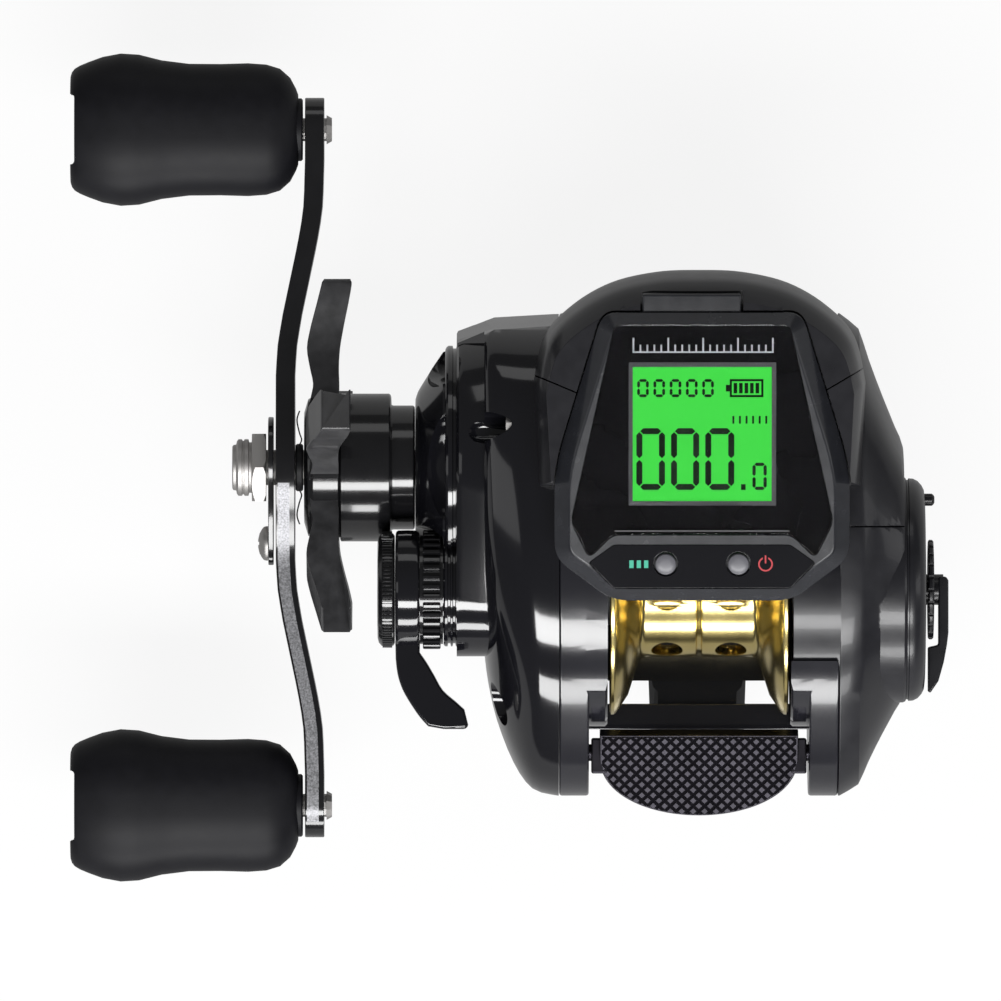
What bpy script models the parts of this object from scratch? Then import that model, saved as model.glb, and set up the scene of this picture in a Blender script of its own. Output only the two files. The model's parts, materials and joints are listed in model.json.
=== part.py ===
"""A low-profile baitcasting reel with a digital line counter.

X runs across the reel with the handle at -X, +Y points up the rod and +Z is up.
The origin is on the underside of the foot, below the middle of the spool.
"""
import math

import bmesh
import bpy
from mathutils import Matrix, Vector

MM = 0.001

# Fits shared by all pieces
GAP = 0.3 * MM
RUNNING_GAP = 0.3 * MM
OVERRUN = 1.0 * MM
SMALL_SIDES = 10
MIDDLE_SIDES = 14
ROUND_SIDES = 20
LARGE_SIDES = 24
FLATNESS = 0.0001 * MM
WELD = 0.002 * MM

# Spool
SPOOL_AXIS_HEIGHT = 25.0 * MM
SPOOL_HALF_WIDTH = 11.6 * MM
SPOOL_FLANGE_RADIUS = 16.3 * MM
SPOOL_FLANGE_EDGE = 1.0 * MM
SPOOL_ARBOR_RADIUS = 8.7 * MM
SPOOL_ARBOR_HALF_WIDTH = 7.6 * MM
SPOOL_WALL = 1.0 * MM
SPOOL_SHAFT_RADIUS = 1.2 * MM
SPOOL_HUB_RADIUS = 2.7 * MM
SPOOL_HOLE_RADIUS = 2.05 * MM
SPOOL_HOLE_OFFSET = 4.15 * MM
SPOOL_HOLE_COUNT = 6

# Gear train
MAIN_TEETH = 63
PINION_TEETH = 10
GEAR_CENTRES = 17.5 * MM
CRANK_DROP = 7.3 * MM
LEVEL_TEETH = 24
COG_TEETH = 18
LEVEL_CENTRES = 11.2 * MM
WORM_DROP = 1.5 * MM
GEAR_MODULE = 2 * GEAR_CENTRES / (MAIN_TEETH + PINION_TEETH)
LEVEL_MODULE = 2 * LEVEL_CENTRES / (LEVEL_TEETH + COG_TEETH)
TOOTH_SHARE = 0.38
TIP_SHARE = 0.2
ROOT_SHARE = 1.2
MESH_TURN_SHARE = 0.5

# Axes that all moving pieces are placed from
CRANK_Y = math.sqrt(GEAR_CENTRES ** 2 - CRANK_DROP ** 2)
CRANK_Z = SPOOL_AXIS_HEIGHT - CRANK_DROP
WORM_Y = CRANK_Y + math.sqrt(LEVEL_CENTRES ** 2 - WORM_DROP ** 2)
WORM_Z = CRANK_Z - WORM_DROP

# Body between and outside the side plates
BODY_REAR = 26.8 * MM
BODY_FRONT = 36.0 * MM
BODY_RISE = 16.5 * MM
BODY_TOP = SPOOL_AXIS_HEIGHT + BODY_RISE
PLATE_INNER = 14.3 * MM
PLATE_THICKNESS = 3.8 * MM
RING_INNER = SPOOL_HALF_WIDTH + GAP
RING_RADIUS = 17.8 * MM
PLATE_OUTER = PLATE_INNER + PLATE_THICKNESS
COVER_FACE = PLATE_OUTER + GAP

# Side view of the body, rear to front over the top, as shares of the body's reach and height
SIDE_SHARES = (
    (-1.00, 0.44), (-0.93, 0.64), (-0.66, 0.81), (-0.34, 0.945), (0.06, 1.0), (0.46, 0.995),
    (0.77, 0.92), (0.95, 0.73), (1.00, 0.46), (0.92, 0.21), (0.62, 0.105), (0.10, 0.10),
    (-0.45, 0.125), (-0.84, 0.25),
)
SIDE_STEPS = 2


# Shapes

def circle(radius, sides, centre_y=0.0, centre_z=0.0):
    """Points of a circle in a plane, counted from the first axis."""
    turn = 2 * math.pi / sides
    return [(centre_y + radius * math.cos(turn * i), centre_z + radius * math.sin(turn * i))
            for i in range(sides)]


def smooth_loop(points, steps):
    """A closed Catmull-Rom curve through the points."""
    count = len(points)
    result = []
    for i in range(count):
        before, start, end, after = (Vector(points[(i + k) % count]) for k in (-1, 0, 1, 2))
        for step in range(steps):
            t = step / steps
            result.append(tuple(0.5 * (2 * start + (end - before) * t
                                       + (2 * before - 5 * start + 4 * end - after) * t ** 2
                                       + (3 * start - before - 3 * end + after) * t ** 3)))
    return result


def rounded(points, radius, steps=3):
    """A closed polygon whose corners are arcs of the radius, or less where an edge is short."""
    result = []
    for i, corner in enumerate(points):
        here = Vector(corner)
        to_last = Vector(points[i - 1]) - here
        to_next = Vector(points[(i + 1) % len(points)]) - here
        half = to_last.angle(to_next) / 2
        cut = min(radius / math.tan(half), to_last.length * 0.45, to_next.length * 0.45)
        start = here + to_last.normalized() * cut
        end = here + to_next.normalized() * cut
        for step in range(steps + 1):
            t = step / steps
            result.append(tuple(start * (1 - t) ** 2 + here * 2 * t * (1 - t) + end * t ** 2))
    return result


def rectangle(low_a, high_a, low_b, high_b):
    """Corners of a rectangle, in turn."""
    return [(low_a, low_b), (high_a, low_b), (high_a, high_b), (low_a, high_b)]


def grown(points, distance):
    """A closed outline moved out by the distance; it must run anticlockwise."""
    result = []
    for i, corner in enumerate(points):
        here = Vector(corner)
        along = (here - Vector(points[i - 1])).normalized()
        onward = (Vector(points[(i + 1) % len(points)]) - here).normalized()
        normal = Vector((along.y + onward.y, -along.x - onward.x)).normalized()
        spread = max(normal.dot(Vector((along.y, -along.x))), 0.4)
        result.append(tuple(here + normal * distance / spread))
    return result


def side_outline(y_share=1.0, z_share=1.0, pivot_y=0.0, pivot_z=0.0, out=0.0):
    """The body's side view in the YZ plane, drawn in towards a pivot and then moved out."""
    points = []
    for along, height in SIDE_SHARES:
        y = along * (BODY_FRONT if along > 0 else BODY_REAR)
        z = height * BODY_TOP
        points.append((pivot_y + (y - pivot_y) * y_share, pivot_z + (z - pivot_z) * z_share))
    loop = smooth_loop(points, SIDE_STEPS)[::-1]
    return grown(loop, out) if out else loop


def at_x(outline, x):
    return [(x, y, z) for y, z in outline]


def at_y(outline, y):
    return [(x, y, z) for x, z in outline]


def at_z(outline, z):
    return [(x, y, z) for x, y in outline]


def bend(face):
    """How far a face's last corner lies off the plane of its first three."""
    first, second, third, last = (vert.co for vert in face.verts)
    normal = (second - first).cross(third - first)
    return abs(normal.normalized().dot(last - first)) if normal.length else 0.0


def place(mesh, name, parent):
    """Link a finished mesh as an object."""
    piece = bpy.data.objects.new(name, mesh)
    bpy.context.scene.collection.objects.link(piece)
    piece.parent = parent
    return piece


def solid(bm, name, parent):
    """Close a bmesh into an object with flat faces that point out."""
    bent = [face for face in bm.faces if len(face.verts) == 4 and bend(face) > FLATNESS]
    bmesh.ops.triangulate(bm, faces=bent)
    bmesh.ops.recalc_face_normals(bm, faces=bm.faces)
    mesh = bpy.data.meshes.new(name)
    bm.to_mesh(mesh)
    bm.free()
    return place(mesh, name, parent)


def loft(name, sections, parent=None):
    """A skin over sections with equal numbers of points, capped at both ends."""
    bm = bmesh.new()
    rings = [[bm.verts.new(point) for point in section] for section in sections]
    count = len(rings[0])
    for first, second in zip(rings, rings[1:]):
        for i in range(count):
            j = (i + 1) % count
            bm.faces.new((first[i], first[j], second[j], second[i]))
    bm.faces.new(rings[0][::-1])
    bm.faces.new(rings[-1])
    return solid(bm, name, parent)


def turned(name, profile, sides=ROUND_SIDES, parent=None):
    """A profile of (x, radius) spun about X; one that starts off the axis closes as a ring."""
    bm = bmesh.new()
    rings = [[bm.verts.new((x, y, z)) for y, z in circle(radius, sides)]
             for x, radius in profile if radius > 0]
    pairs = list(zip(rings, rings[1:]))
    if profile[0][1] > 0:
        pairs.append((rings[-1], rings[0]))
    else:
        bm.faces.new(rings[0][::-1])
        bm.faces.new(rings[-1])
    for first, second in pairs:
        for i in range(sides):
            j = (i + 1) % sides
            bm.faces.new((first[i], first[j], second[j], second[i]))
    return solid(bm, name, parent)


def disc(name, low, high, radius, sides=ROUND_SIDES, parent=None):
    """A plain cylinder along X."""
    return turned(name, [(low, 0), (low, radius), (high, radius), (high, 0)], sides, parent)


def ring(name, low, high, outer, inner, sides=ROUND_SIDES, parent=None):
    """A plain tube along X."""
    return turned(name, [(low, inner), (low, outer), (high, outer), (high, inner)], sides, parent)


def post(name, low, high, radius, centre_x, centre_y, sides=SMALL_SIDES, parent=None):
    """A plain cylinder along Z."""
    outline = circle(radius, sides, centre_x, centre_y)
    return loft(name, [at_z(outline, low), at_z(outline, high)], parent)


def block(name, low, high, parent=None):
    """A rectangular block between two corners."""
    outline = rectangle(low[0], high[0], low[1], high[1])
    return loft(name, [at_z(outline, low[2]), at_z(outline, high[2])], parent)


def moved(piece, y, z):
    """Place a turned piece's axis."""
    piece.location = (0, y, z)
    return piece


def settle(piece):
    """Bake a piece's modifiers into its mesh."""
    bpy.context.view_layer.update()
    graph = bpy.context.evaluated_depsgraph_get()
    mesh = bpy.data.meshes.new_from_object(piece.evaluated_get(graph))
    bm = bmesh.new()
    bm.from_mesh(mesh)
    bmesh.ops.remove_doubles(bm, verts=bm.verts, dist=WELD)
    bmesh.ops.dissolve_degenerate(bm, edges=bm.edges, dist=WELD)
    bm.to_mesh(mesh)
    bm.free()
    piece.modifiers.clear()
    piece.data = mesh
    return piece


def combine(piece, operation, tools):
    """Boolean each tool into the piece in turn, and clear the tools away."""
    for tool in tools:
        modifier = piece.modifiers.new(operation.title(), "BOOLEAN")
        modifier.operation = operation
        modifier.object = tool
        settle(piece)
        bpy.data.objects.remove(tool)
    return piece


def join(piece, *tools):
    return combine(piece, "UNION", tools)


def cut(piece, *tools):
    return combine(piece, "DIFFERENCE", tools)


def trim(piece, *tools):
    return combine(piece, "INTERSECT", tools)


def soften(piece, width, angle=0.6, segments=1):
    """Break the sharp edges of a piece."""
    modifier = piece.modifiers.new("Bevel", "BEVEL")
    modifier.width = width
    modifier.segments = segments
    modifier.limit_method = "ANGLE"
    modifier.angle_limit = angle
    return settle(piece)


def axis_empty(name, y, z, x=0.0):
    """An empty on a joint's axis."""
    empty = bpy.data.objects.new(name, None)
    empty.location = (x, y, z)
    bpy.context.scene.collection.objects.link(empty)
    return empty


def finish(piece, colour, roughness, metallic=0.0):
    """Give a piece its own material and smooth shading with sharp edges kept."""
    material = bpy.data.materials.new(piece.name)
    material.use_nodes = True
    shader = material.node_tree.nodes["Principled BSDF"]
    shader.inputs["Base Color"].default_value = (*colour, 1.0)
    shader.inputs["Roughness"].default_value = roughness
    shader.inputs["Metallic"].default_value = metallic
    piece.data.materials.clear()
    piece.data.materials.append(material)
    piece.data.shade_smooth()
    piece.data.set_sharp_from_angle(angle=0.6)
    return piece


BLACK_GLOSS = (0.012, 0.012, 0.014)
BLACK_SATIN = (0.02, 0.02, 0.023)
GREY_BEVEL = (0.08, 0.08, 0.09)
GOLD = (0.83, 0.6, 0.2)
STEEL = (0.6, 0.6, 0.62)
BRASS = (0.7, 0.52, 0.22)
CARBON = (0.03, 0.03, 0.03)


# Gears

def gear_outline(teeth, module, turn):
    """Straight-flanked teeth with play on both flanks, four points to a tooth."""
    pitch_radius = teeth * module / 2
    tip = pitch_radius + module
    root = pitch_radius - module * ROOT_SHARE
    step = 2 * math.pi / teeth
    base_half = step * TOOTH_SHARE * 0.5 * (1 + ROOT_SHARE * TIP_SHARE * 2)
    tip_half = step * TIP_SHARE * 0.5
    points = []
    for tooth in range(teeth):
        centre = step * tooth + turn
        for angle, radius in ((-base_half, root), (-tip_half, tip), (tip_half, tip), (base_half, root)):
            points.append((radius * math.cos(centre + angle), radius * math.sin(centre + angle)))
    return points


def gear(name, teeth, module, low, high, bore, turn, parent):
    """A spur gear along X with a round bore."""
    outline = gear_outline(teeth, module, turn)
    piece = loft(name, [at_x(outline, low), at_x(outline, high)], parent)
    return cut(piece, disc("bore", low - OVERRUN, high + OVERRUN, bore, SMALL_SIDES, parent))


# Stations along X on the gear side, each from the one inside it
LEVEL_GEAR_WIDTH = 2.0 * MM
LEVEL_GEAR_INSET = 1.6 * MM
MAIN_GEAR_WIDTH = 4.0 * MM
SHAFT_FLANGE_WIDTH = 1.2 * MM
SHAFT_FLANGE_RADIUS = 7.0 * MM
LEVEL_NEAR = -COVER_FACE - LEVEL_GEAR_INSET
LEVEL_FAR = LEVEL_NEAR - LEVEL_GEAR_WIDTH
SHAFT_FLANGE_NEAR = LEVEL_FAR - GAP
SHAFT_FLANGE_FAR = SHAFT_FLANGE_NEAR - SHAFT_FLANGE_WIDTH
MAIN_NEAR = SHAFT_FLANGE_FAR - GAP
MAIN_FAR = MAIN_NEAR - MAIN_GEAR_WIDTH

# Gear housing, which stands out of the gear side cover
HOUSING_ROOM = 2.1 * MM
HOUSING_WALL = 1.6 * MM
HOUSING_INNER = MAIN_FAR - HOUSING_ROOM
HOUSING_OUTER = HOUSING_INNER - HOUSING_WALL
MAIN_TIP_RADIUS = (MAIN_TEETH / 2 + 1) * GEAR_MODULE
GEAR_ROOM_RADIUS = MAIN_TIP_RADIUS + 1.5 * GAP
HOUSING_RADIUS = 18.2 * MM
HOUSING_TAIL_RADIUS = 8.7 * MM
HOUSING_DROP = 17.3 * MM
HOUSING_LOWEST = CRANK_Z - HOUSING_DROP
SHAFT_BOSS_LENGTH = 5.4 * MM
SHAFT_BOSS_FOOT_RADIUS = 13.4 * MM
SHAFT_BOSS_NOSE_RADIUS = 9.2 * MM
SHAFT_BOSS_END = HOUSING_OUTER - SHAFT_BOSS_LENGTH
TENSION_BOSS_RADIUS = 5.7 * MM
TENSION_BOSS_LENGTH = 7.0 * MM
TENSION_BOSS_END = HOUSING_OUTER - TENSION_BOSS_LENGTH

# Bearings: the name, outer radius and width of each kind
SMALL_BEARING_RADIUS = 4.0 * MM
SMALL_BEARING_WIDTH = 2.6 * MM
PINION_BEARING_RADIUS = 5.0 * MM
PINION_BEARING_WIDTH = 3.0 * MM
CLUTCH_RADIUS = 5.6 * MM
CLUTCH_WIDTH = 5.4 * MM

# Shafts
SHAFT_RADIUS = 2.3 * MM
SLEEVE_RADIUS = 3.7 * MM
PINION_TAIL_RADIUS = 2.4 * MM
PINION_BORE_RADIUS = 1.45 * MM
WORM_RADIUS = 2.6 * MM
WORM_JOURNAL_RADIUS = 1.4 * MM
PLATE_BEARING_STOP = 1.0 * MM
BEARING_NEAR = PLATE_INNER + PLATE_BEARING_STOP

# Base, bars and foot
BASE_REAR = 12.0 * MM
SPOOL_BASE_ROOM = 0.6 * MM
BASE_LOW_SHARE = 0.5556
BASE_HIGH = SPOOL_AXIS_HEIGHT - SPOOL_FLANGE_RADIUS - SPOOL_BASE_ROOM
BASE_LOW = BASE_HIGH * BASE_LOW_SHARE
REAR_BAR = (15.0 * MM, 18.3 * MM)
REAR_BAR_DROP = 11.6 * MM
REAR_BAR_HEIGHT = 4.9 * MM
REAR_BAR_HIGH = SPOOL_AXIS_HEIGHT - REAR_BAR_DROP
REAR_BAR_LOW = REAR_BAR_HIGH - REAR_BAR_HEIGHT
TOP_BRACE_REAR = 20.0 * MM
TOP_BRACE_FRONT = 25.0 * MM
TOP_BRACE_THICKNESS = 3.0 * MM
TOP_BRACE_INSET = 0.9 * MM
TOP_BRACE_TOP = BODY_TOP - TOP_BRACE_INSET
FOOT_HALF_LENGTH = 27.0 * MM
FOOT_HALF_WIDTH = 6.45 * MM
FOOT_STEM_HALF_LENGTH = 14.2 * MM
FOOT_MIDDLE_SHARE = 0.667
FOOT_END_SHARE = 0.289
FOOT_MIDDLE_HEIGHT = BASE_LOW * FOOT_MIDDLE_SHARE
FOOT_END_HEIGHT = BASE_LOW * FOOT_END_SHARE
FOOT_SCREW_REACH = 8.0 * MM
FOOT_SCREW_RADIUS = 1.2 * MM
FOOT_SCREW_HEAD_RADIUS = 2.2 * MM
FOOT_SCREW_HEAD_SHARE = 0.389
FOOT_SCREW_HEAD_HEIGHT = (BASE_HIGH - BASE_LOW) * FOOT_SCREW_HEAD_SHARE
FOOT_SCREW_TIP = FOOT_END_HEIGHT
SCREW_SINK = 0.3 * MM

# Thumb bar
THUMB_FRONT = 19.0 * MM
THUMB_REAR = 29.5 * MM
THUMB_HALF_WIDTH = 12.9 * MM
THUMB_THICKNESS = 2.6 * MM
THUMB_RISE = 6.6 * MM
THUMB_FRONT_TOP = SPOOL_AXIS_HEIGHT + THUMB_RISE
THUMB_SLOPE = math.radians(20)
THUMB_SHOULDER = 3.0 * MM
THUMB_TRAVEL = 4.0 * MM
THUMB_POST_WIDTH = 1.0 * MM
THUMB_POST_REAR = 23.9 * MM
THUMB_PEG_RADIUS = 1.1 * MM
THUMB_PEG_REACH = 16.2 * MM
THUMB_PEG_Y = 21.2 * MM
THUMB_PEG_DROP = 4.4 * MM

# Guide rail above the worm
RAIL_RADIUS = 1.1 * MM
RAIL_AHEAD = 3.2 * MM
RAIL_RISE = 11.2 * MM
RAIL_Y = WORM_Y + RAIL_AHEAD
RAIL_Z = WORM_Z + RAIL_RISE


def main_frame():
    """One casting: two side plates, their spool rings, the base and two cross bars."""
    low_y = -BASE_REAR
    gear_ring = disc("ring", -PLATE_INNER - OVERRUN, -RING_INNER, RING_RADIUS, LARGE_SIDES)
    palm_ring = disc("ring", RING_INNER, PLATE_INNER + OVERRUN, RING_RADIUS, LARGE_SIDES)
    reach = PLATE_INNER + OVERRUN * 0.8
    frame = block("main_frame", (-reach, low_y, BASE_LOW), (reach, BODY_FRONT, BASE_HIGH))
    reach = PLATE_INNER + OVERRUN * 0.6
    rear_bar = block("bar", (-reach, -REAR_BAR[1], REAR_BAR_LOW), (reach, -REAR_BAR[0], REAR_BAR_HIGH))
    brace_low = TOP_BRACE_TOP - TOP_BRACE_THICKNESS
    brace = block("brace", (-reach, TOP_BRACE_REAR, brace_low), (reach, TOP_BRACE_FRONT, TOP_BRACE_TOP))
    join(frame, moved(gear_ring, 0, SPOOL_AXIS_HEIGHT), moved(palm_ring, 0, SPOOL_AXIS_HEIGHT))
    envelope = PLATE_OUTER + OVERRUN
    inset = side_outline(out=-GAP)
    trim(frame, loft("envelope", [at_x(inset, -envelope), at_x(inset, envelope)]))
    plate = side_outline()
    join(frame, loft("plate", [at_x(plate, -PLATE_OUTER), at_x(plate, -PLATE_INNER)]),
         loft("plate", [at_x(plate, PLATE_INNER), at_x(plate, PLATE_OUTER)]), rear_bar, brace)

    far = PLATE_OUTER + OVERRUN
    spool_hole = disc("hole", RING_INNER - OVERRUN, far, SPOOL_FLANGE_RADIUS + 2 * GAP, LARGE_SIDES)
    hub_room = disc("hole", -BEARING_NEAR, -RING_INNER + OVERRUN, SENSOR_ROOM_RADIUS, MIDDLE_SIDES)
    pinion_seat = disc("hole", -far, -BEARING_NEAR + OVERRUN, PINION_BEARING_RADIUS + GAP, MIDDLE_SIDES)
    for hole in (spool_hole, hub_room, pinion_seat):
        cut(frame, moved(hole, 0, SPOOL_AXIS_HEIGHT))
    shaft_seat = disc("hole", -far, -BEARING_NEAR, SMALL_BEARING_RADIUS + GAP, MIDDLE_SIDES)
    worm_seat = disc("hole", -far, far, WORM_JOURNAL_RADIUS + GAP, SMALL_SIDES)
    worm_bush_seat = disc("hole", BEARING_NEAR, far, SMALL_BEARING_RADIUS + GAP, MIDDLE_SIDES)
    rail_seat = disc("hole", -PLATE_INNER - RAIL_SEAT, PLATE_INNER + RAIL_SEAT, RAIL_RADIUS + GAP,
                     SMALL_SIDES)
    cut(frame, moved(shaft_seat, CRANK_Y, CRANK_Z), moved(worm_seat, WORM_Y, WORM_Z))
    cut(frame, moved(worm_bush_seat, WORM_Y, WORM_Z), moved(rail_seat, RAIL_Y, RAIL_Z))
    for _, _, y, z in COVER_SCREWS:
        cut(frame, moved(disc("hole", -far, COVER_SCREW_END + GAP, COVER_SCREW_RADIUS + GAP,
                              SMALL_SIDES), y, z))
    for side in (-1, 1):
        top = THUMB_FRONT_TOP - THUMB_PEG_DROP + THUMB_PEG_RADIUS + GAP
        low = THUMB_FRONT_TOP - THUMB_PEG_DROP - THUMB_PEG_RADIUS - THUMB_TRAVEL - GAP
        half = THUMB_PEG_RADIUS + GAP
        near, end = sorted((side * (PLATE_INNER - OVERRUN), side * (THUMB_PEG_REACH + GAP)))
        cut(frame, block("slot", (near, -THUMB_PEG_Y - half, low), (end, -THUMB_PEG_Y + half, top)))
    for y in (-FOOT_SCREW_REACH, FOOT_SCREW_REACH):
        seat = BASE_HIGH - SCREW_SINK - FOOT_SCREW_HEAD_HEIGHT - GAP
        head = post("hole", seat, BASE_HIGH + OVERRUN, FOOT_SCREW_HEAD_RADIUS + GAP, 0, y)
        shank = post("hole", BASE_LOW - OVERRUN, BASE_HIGH, FOOT_SCREW_RADIUS + GAP, 0, y)
        cut(frame, head, shank)
    low = (-SENSOR_SIZE[0] - PLATE_INNER, -SENSOR_SIZE[1] - GAP, SENSOR_Z - SENSOR_SIZE[2] - GAP)
    high = (-RING_INNER + OVERRUN, SENSOR_SIZE[1] + GAP, SENSOR_Z + SENSOR_SIZE[2] + GAP)
    cut(frame, block("pocket", low, high))
    return finish(frame, BLACK_GLOSS, 0.22)


# Line counter's sensor beside the spool and its magnet on the spool shaft
SENSOR_ROOM_RADIUS = 6.0 * MM
SENSOR_SIZE = (0.4 * MM, 1.6 * MM, 1.0 * MM)
SENSOR_RISE = 9.2 * MM
SENSOR_Z = SPOOL_AXIS_HEIGHT + SENSOR_RISE
RAIL_SEAT = 1.5 * MM
MAGNET_RADIUS = 4.6 * MM
MAGNET_WIDTH = 2.6 * MM


def hall_sensor():
    """The switch that the spool's magnet passes."""
    low = (-PLATE_INNER, -SENSOR_SIZE[1], SENSOR_Z - SENSOR_SIZE[2])
    high = (-RING_INNER - GAP, SENSOR_SIZE[1], SENSOR_Z + SENSOR_SIZE[2])
    return finish(block("hall_sensor", low, high), BLACK_SATIN, 0.5)


def reel_foot():
    """The foot that a rod's reel seat grips, thinned towards its round ends."""
    stations = 9
    sections = []
    for i in range(stations):
        share = math.cos(math.pi * i / (stations - 1))
        y = -share * FOOT_HALF_LENGTH
        taper = 1 - abs(share) ** 4
        half = FOOT_HALF_WIDTH * (0.62 + 0.38 * math.sqrt(taper))
        height = FOOT_END_HEIGHT + (FOOT_MIDDLE_HEIGHT - FOOT_END_HEIGHT) * math.sqrt(taper)
        sections.append(at_y([(-half, 0), (half, 0), (half, height * 0.6), (half * 0.82, height),
                              (-half * 0.82, height), (-half, height * 0.6)], y))
    foot = loft("reel_foot", sections)
    width = FOOT_HALF_WIDTH - GAP
    stem = rounded(rectangle(-width, width, -FOOT_STEM_HALF_LENGTH, FOOT_STEM_HALF_LENGTH), width * 0.5)
    join(foot, loft("stem", [at_z(stem, FOOT_END_HEIGHT), at_z(stem, BASE_LOW - GAP)]))
    for y in (-FOOT_SCREW_REACH, FOOT_SCREW_REACH):
        low = FOOT_SCREW_TIP - GAP
        cut(foot, post("hole", low, BASE_LOW + OVERRUN, FOOT_SCREW_RADIUS + GAP, 0, y))
    return finish(foot, BLACK_SATIN, 0.35)


def foot_screw(name, y):
    """A cap screw down through the base into the foot."""
    top = BASE_HIGH - SCREW_SINK
    head_low = top - FOOT_SCREW_HEAD_HEIGHT
    screw = post(name, head_low, top, FOOT_SCREW_HEAD_RADIUS, 0, y)
    join(screw, post("shank", FOOT_SCREW_TIP, head_low + SCREW_SINK, FOOT_SCREW_RADIUS, 0, y))
    cut(screw, post("socket", top - FOOT_SCREW_HEAD_HEIGHT / 2, top + OVERRUN, FOOT_SCREW_RADIUS, 0, y, 6))
    return finish(screw, STEEL, 0.3, 1.0)


def guide_rod():
    """The rail that keeps the line guide upright."""
    half = PLATE_INNER + RAIL_SEAT - GAP
    rail = moved(disc("guide_rod", -half, half, RAIL_RADIUS, SMALL_SIDES), RAIL_Y, RAIL_Z)
    return finish(rail, STEEL, 0.25, 1.0)


# Gear side cover: how far out and how much drawn in each station is
GEAR_COVER_PIVOT = (35.0 * MM, SPOOL_AXIS_HEIGHT * 0.8)
GEAR_COVER_DEPTH = 9.5 * MM
GEAR_COVER_SHARES = (
    (0.0, 1.0, 1.0), (0.34, 0.985, 0.985), (0.6, 0.93, 0.95), (0.83, 0.84, 0.90),
    (0.95, 0.76, 0.85), (1.0, 0.70, 0.80),
)
HOUSING_EDGE = 1.1 * MM
LEVER_ROOM_RADIUS = 8.3 * MM
COVER_SCREW_RADIUS = 1.0 * MM
COVER_SCREW_HEAD_RADIUS = 2.3 * MM
COVER_SCREW_HEAD_HEIGHT = 1.6 * MM
REAR_SCREW_Y = -15.0 * MM
REAR_SCREW_RISE = 2.0 * MM
REAR_SCREW_Z = SPOOL_AXIS_HEIGHT + REAR_SCREW_RISE
REAR_SCREW_HEAD_X = -23.2 * MM
FRONT_SCREW_Y = 21.2 * MM
FRONT_SCREW_RISE = 12.7 * MM
FRONT_SCREW_Z = SPOOL_AXIS_HEIGHT + FRONT_SCREW_RISE
FRONT_SCREW_HEAD_X = -23.5 * MM
COVER_SCREW_END = -15.3 * MM


def housing_outline(out=0.0):
    """The hull of a circle round the main gear and a smaller one round the spool axis, flat below."""
    big, small = HOUSING_RADIUS + out, HOUSING_TAIL_RADIUS + out
    heading = math.atan2(CRANK_DROP, -CRANK_Y)
    lean = math.acos((big - small) / GEAR_CENTRES)
    points = []
    steps = 20
    for i in range(steps + 1):
        angle = heading + lean + (2 * math.pi - 2 * lean) * i / steps
        y = CRANK_Y + big * math.cos(angle)
        z = max(CRANK_Z + big * math.sin(angle), HOUSING_LOWEST - out)
        points.append((y, z))
    steps = 5
    for i in range(steps + 1):
        angle = heading - lean + 2 * lean * i / steps
        points.append((small * math.cos(angle), SPOOL_AXIS_HEIGHT + small * math.sin(angle)))
    return points


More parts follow.
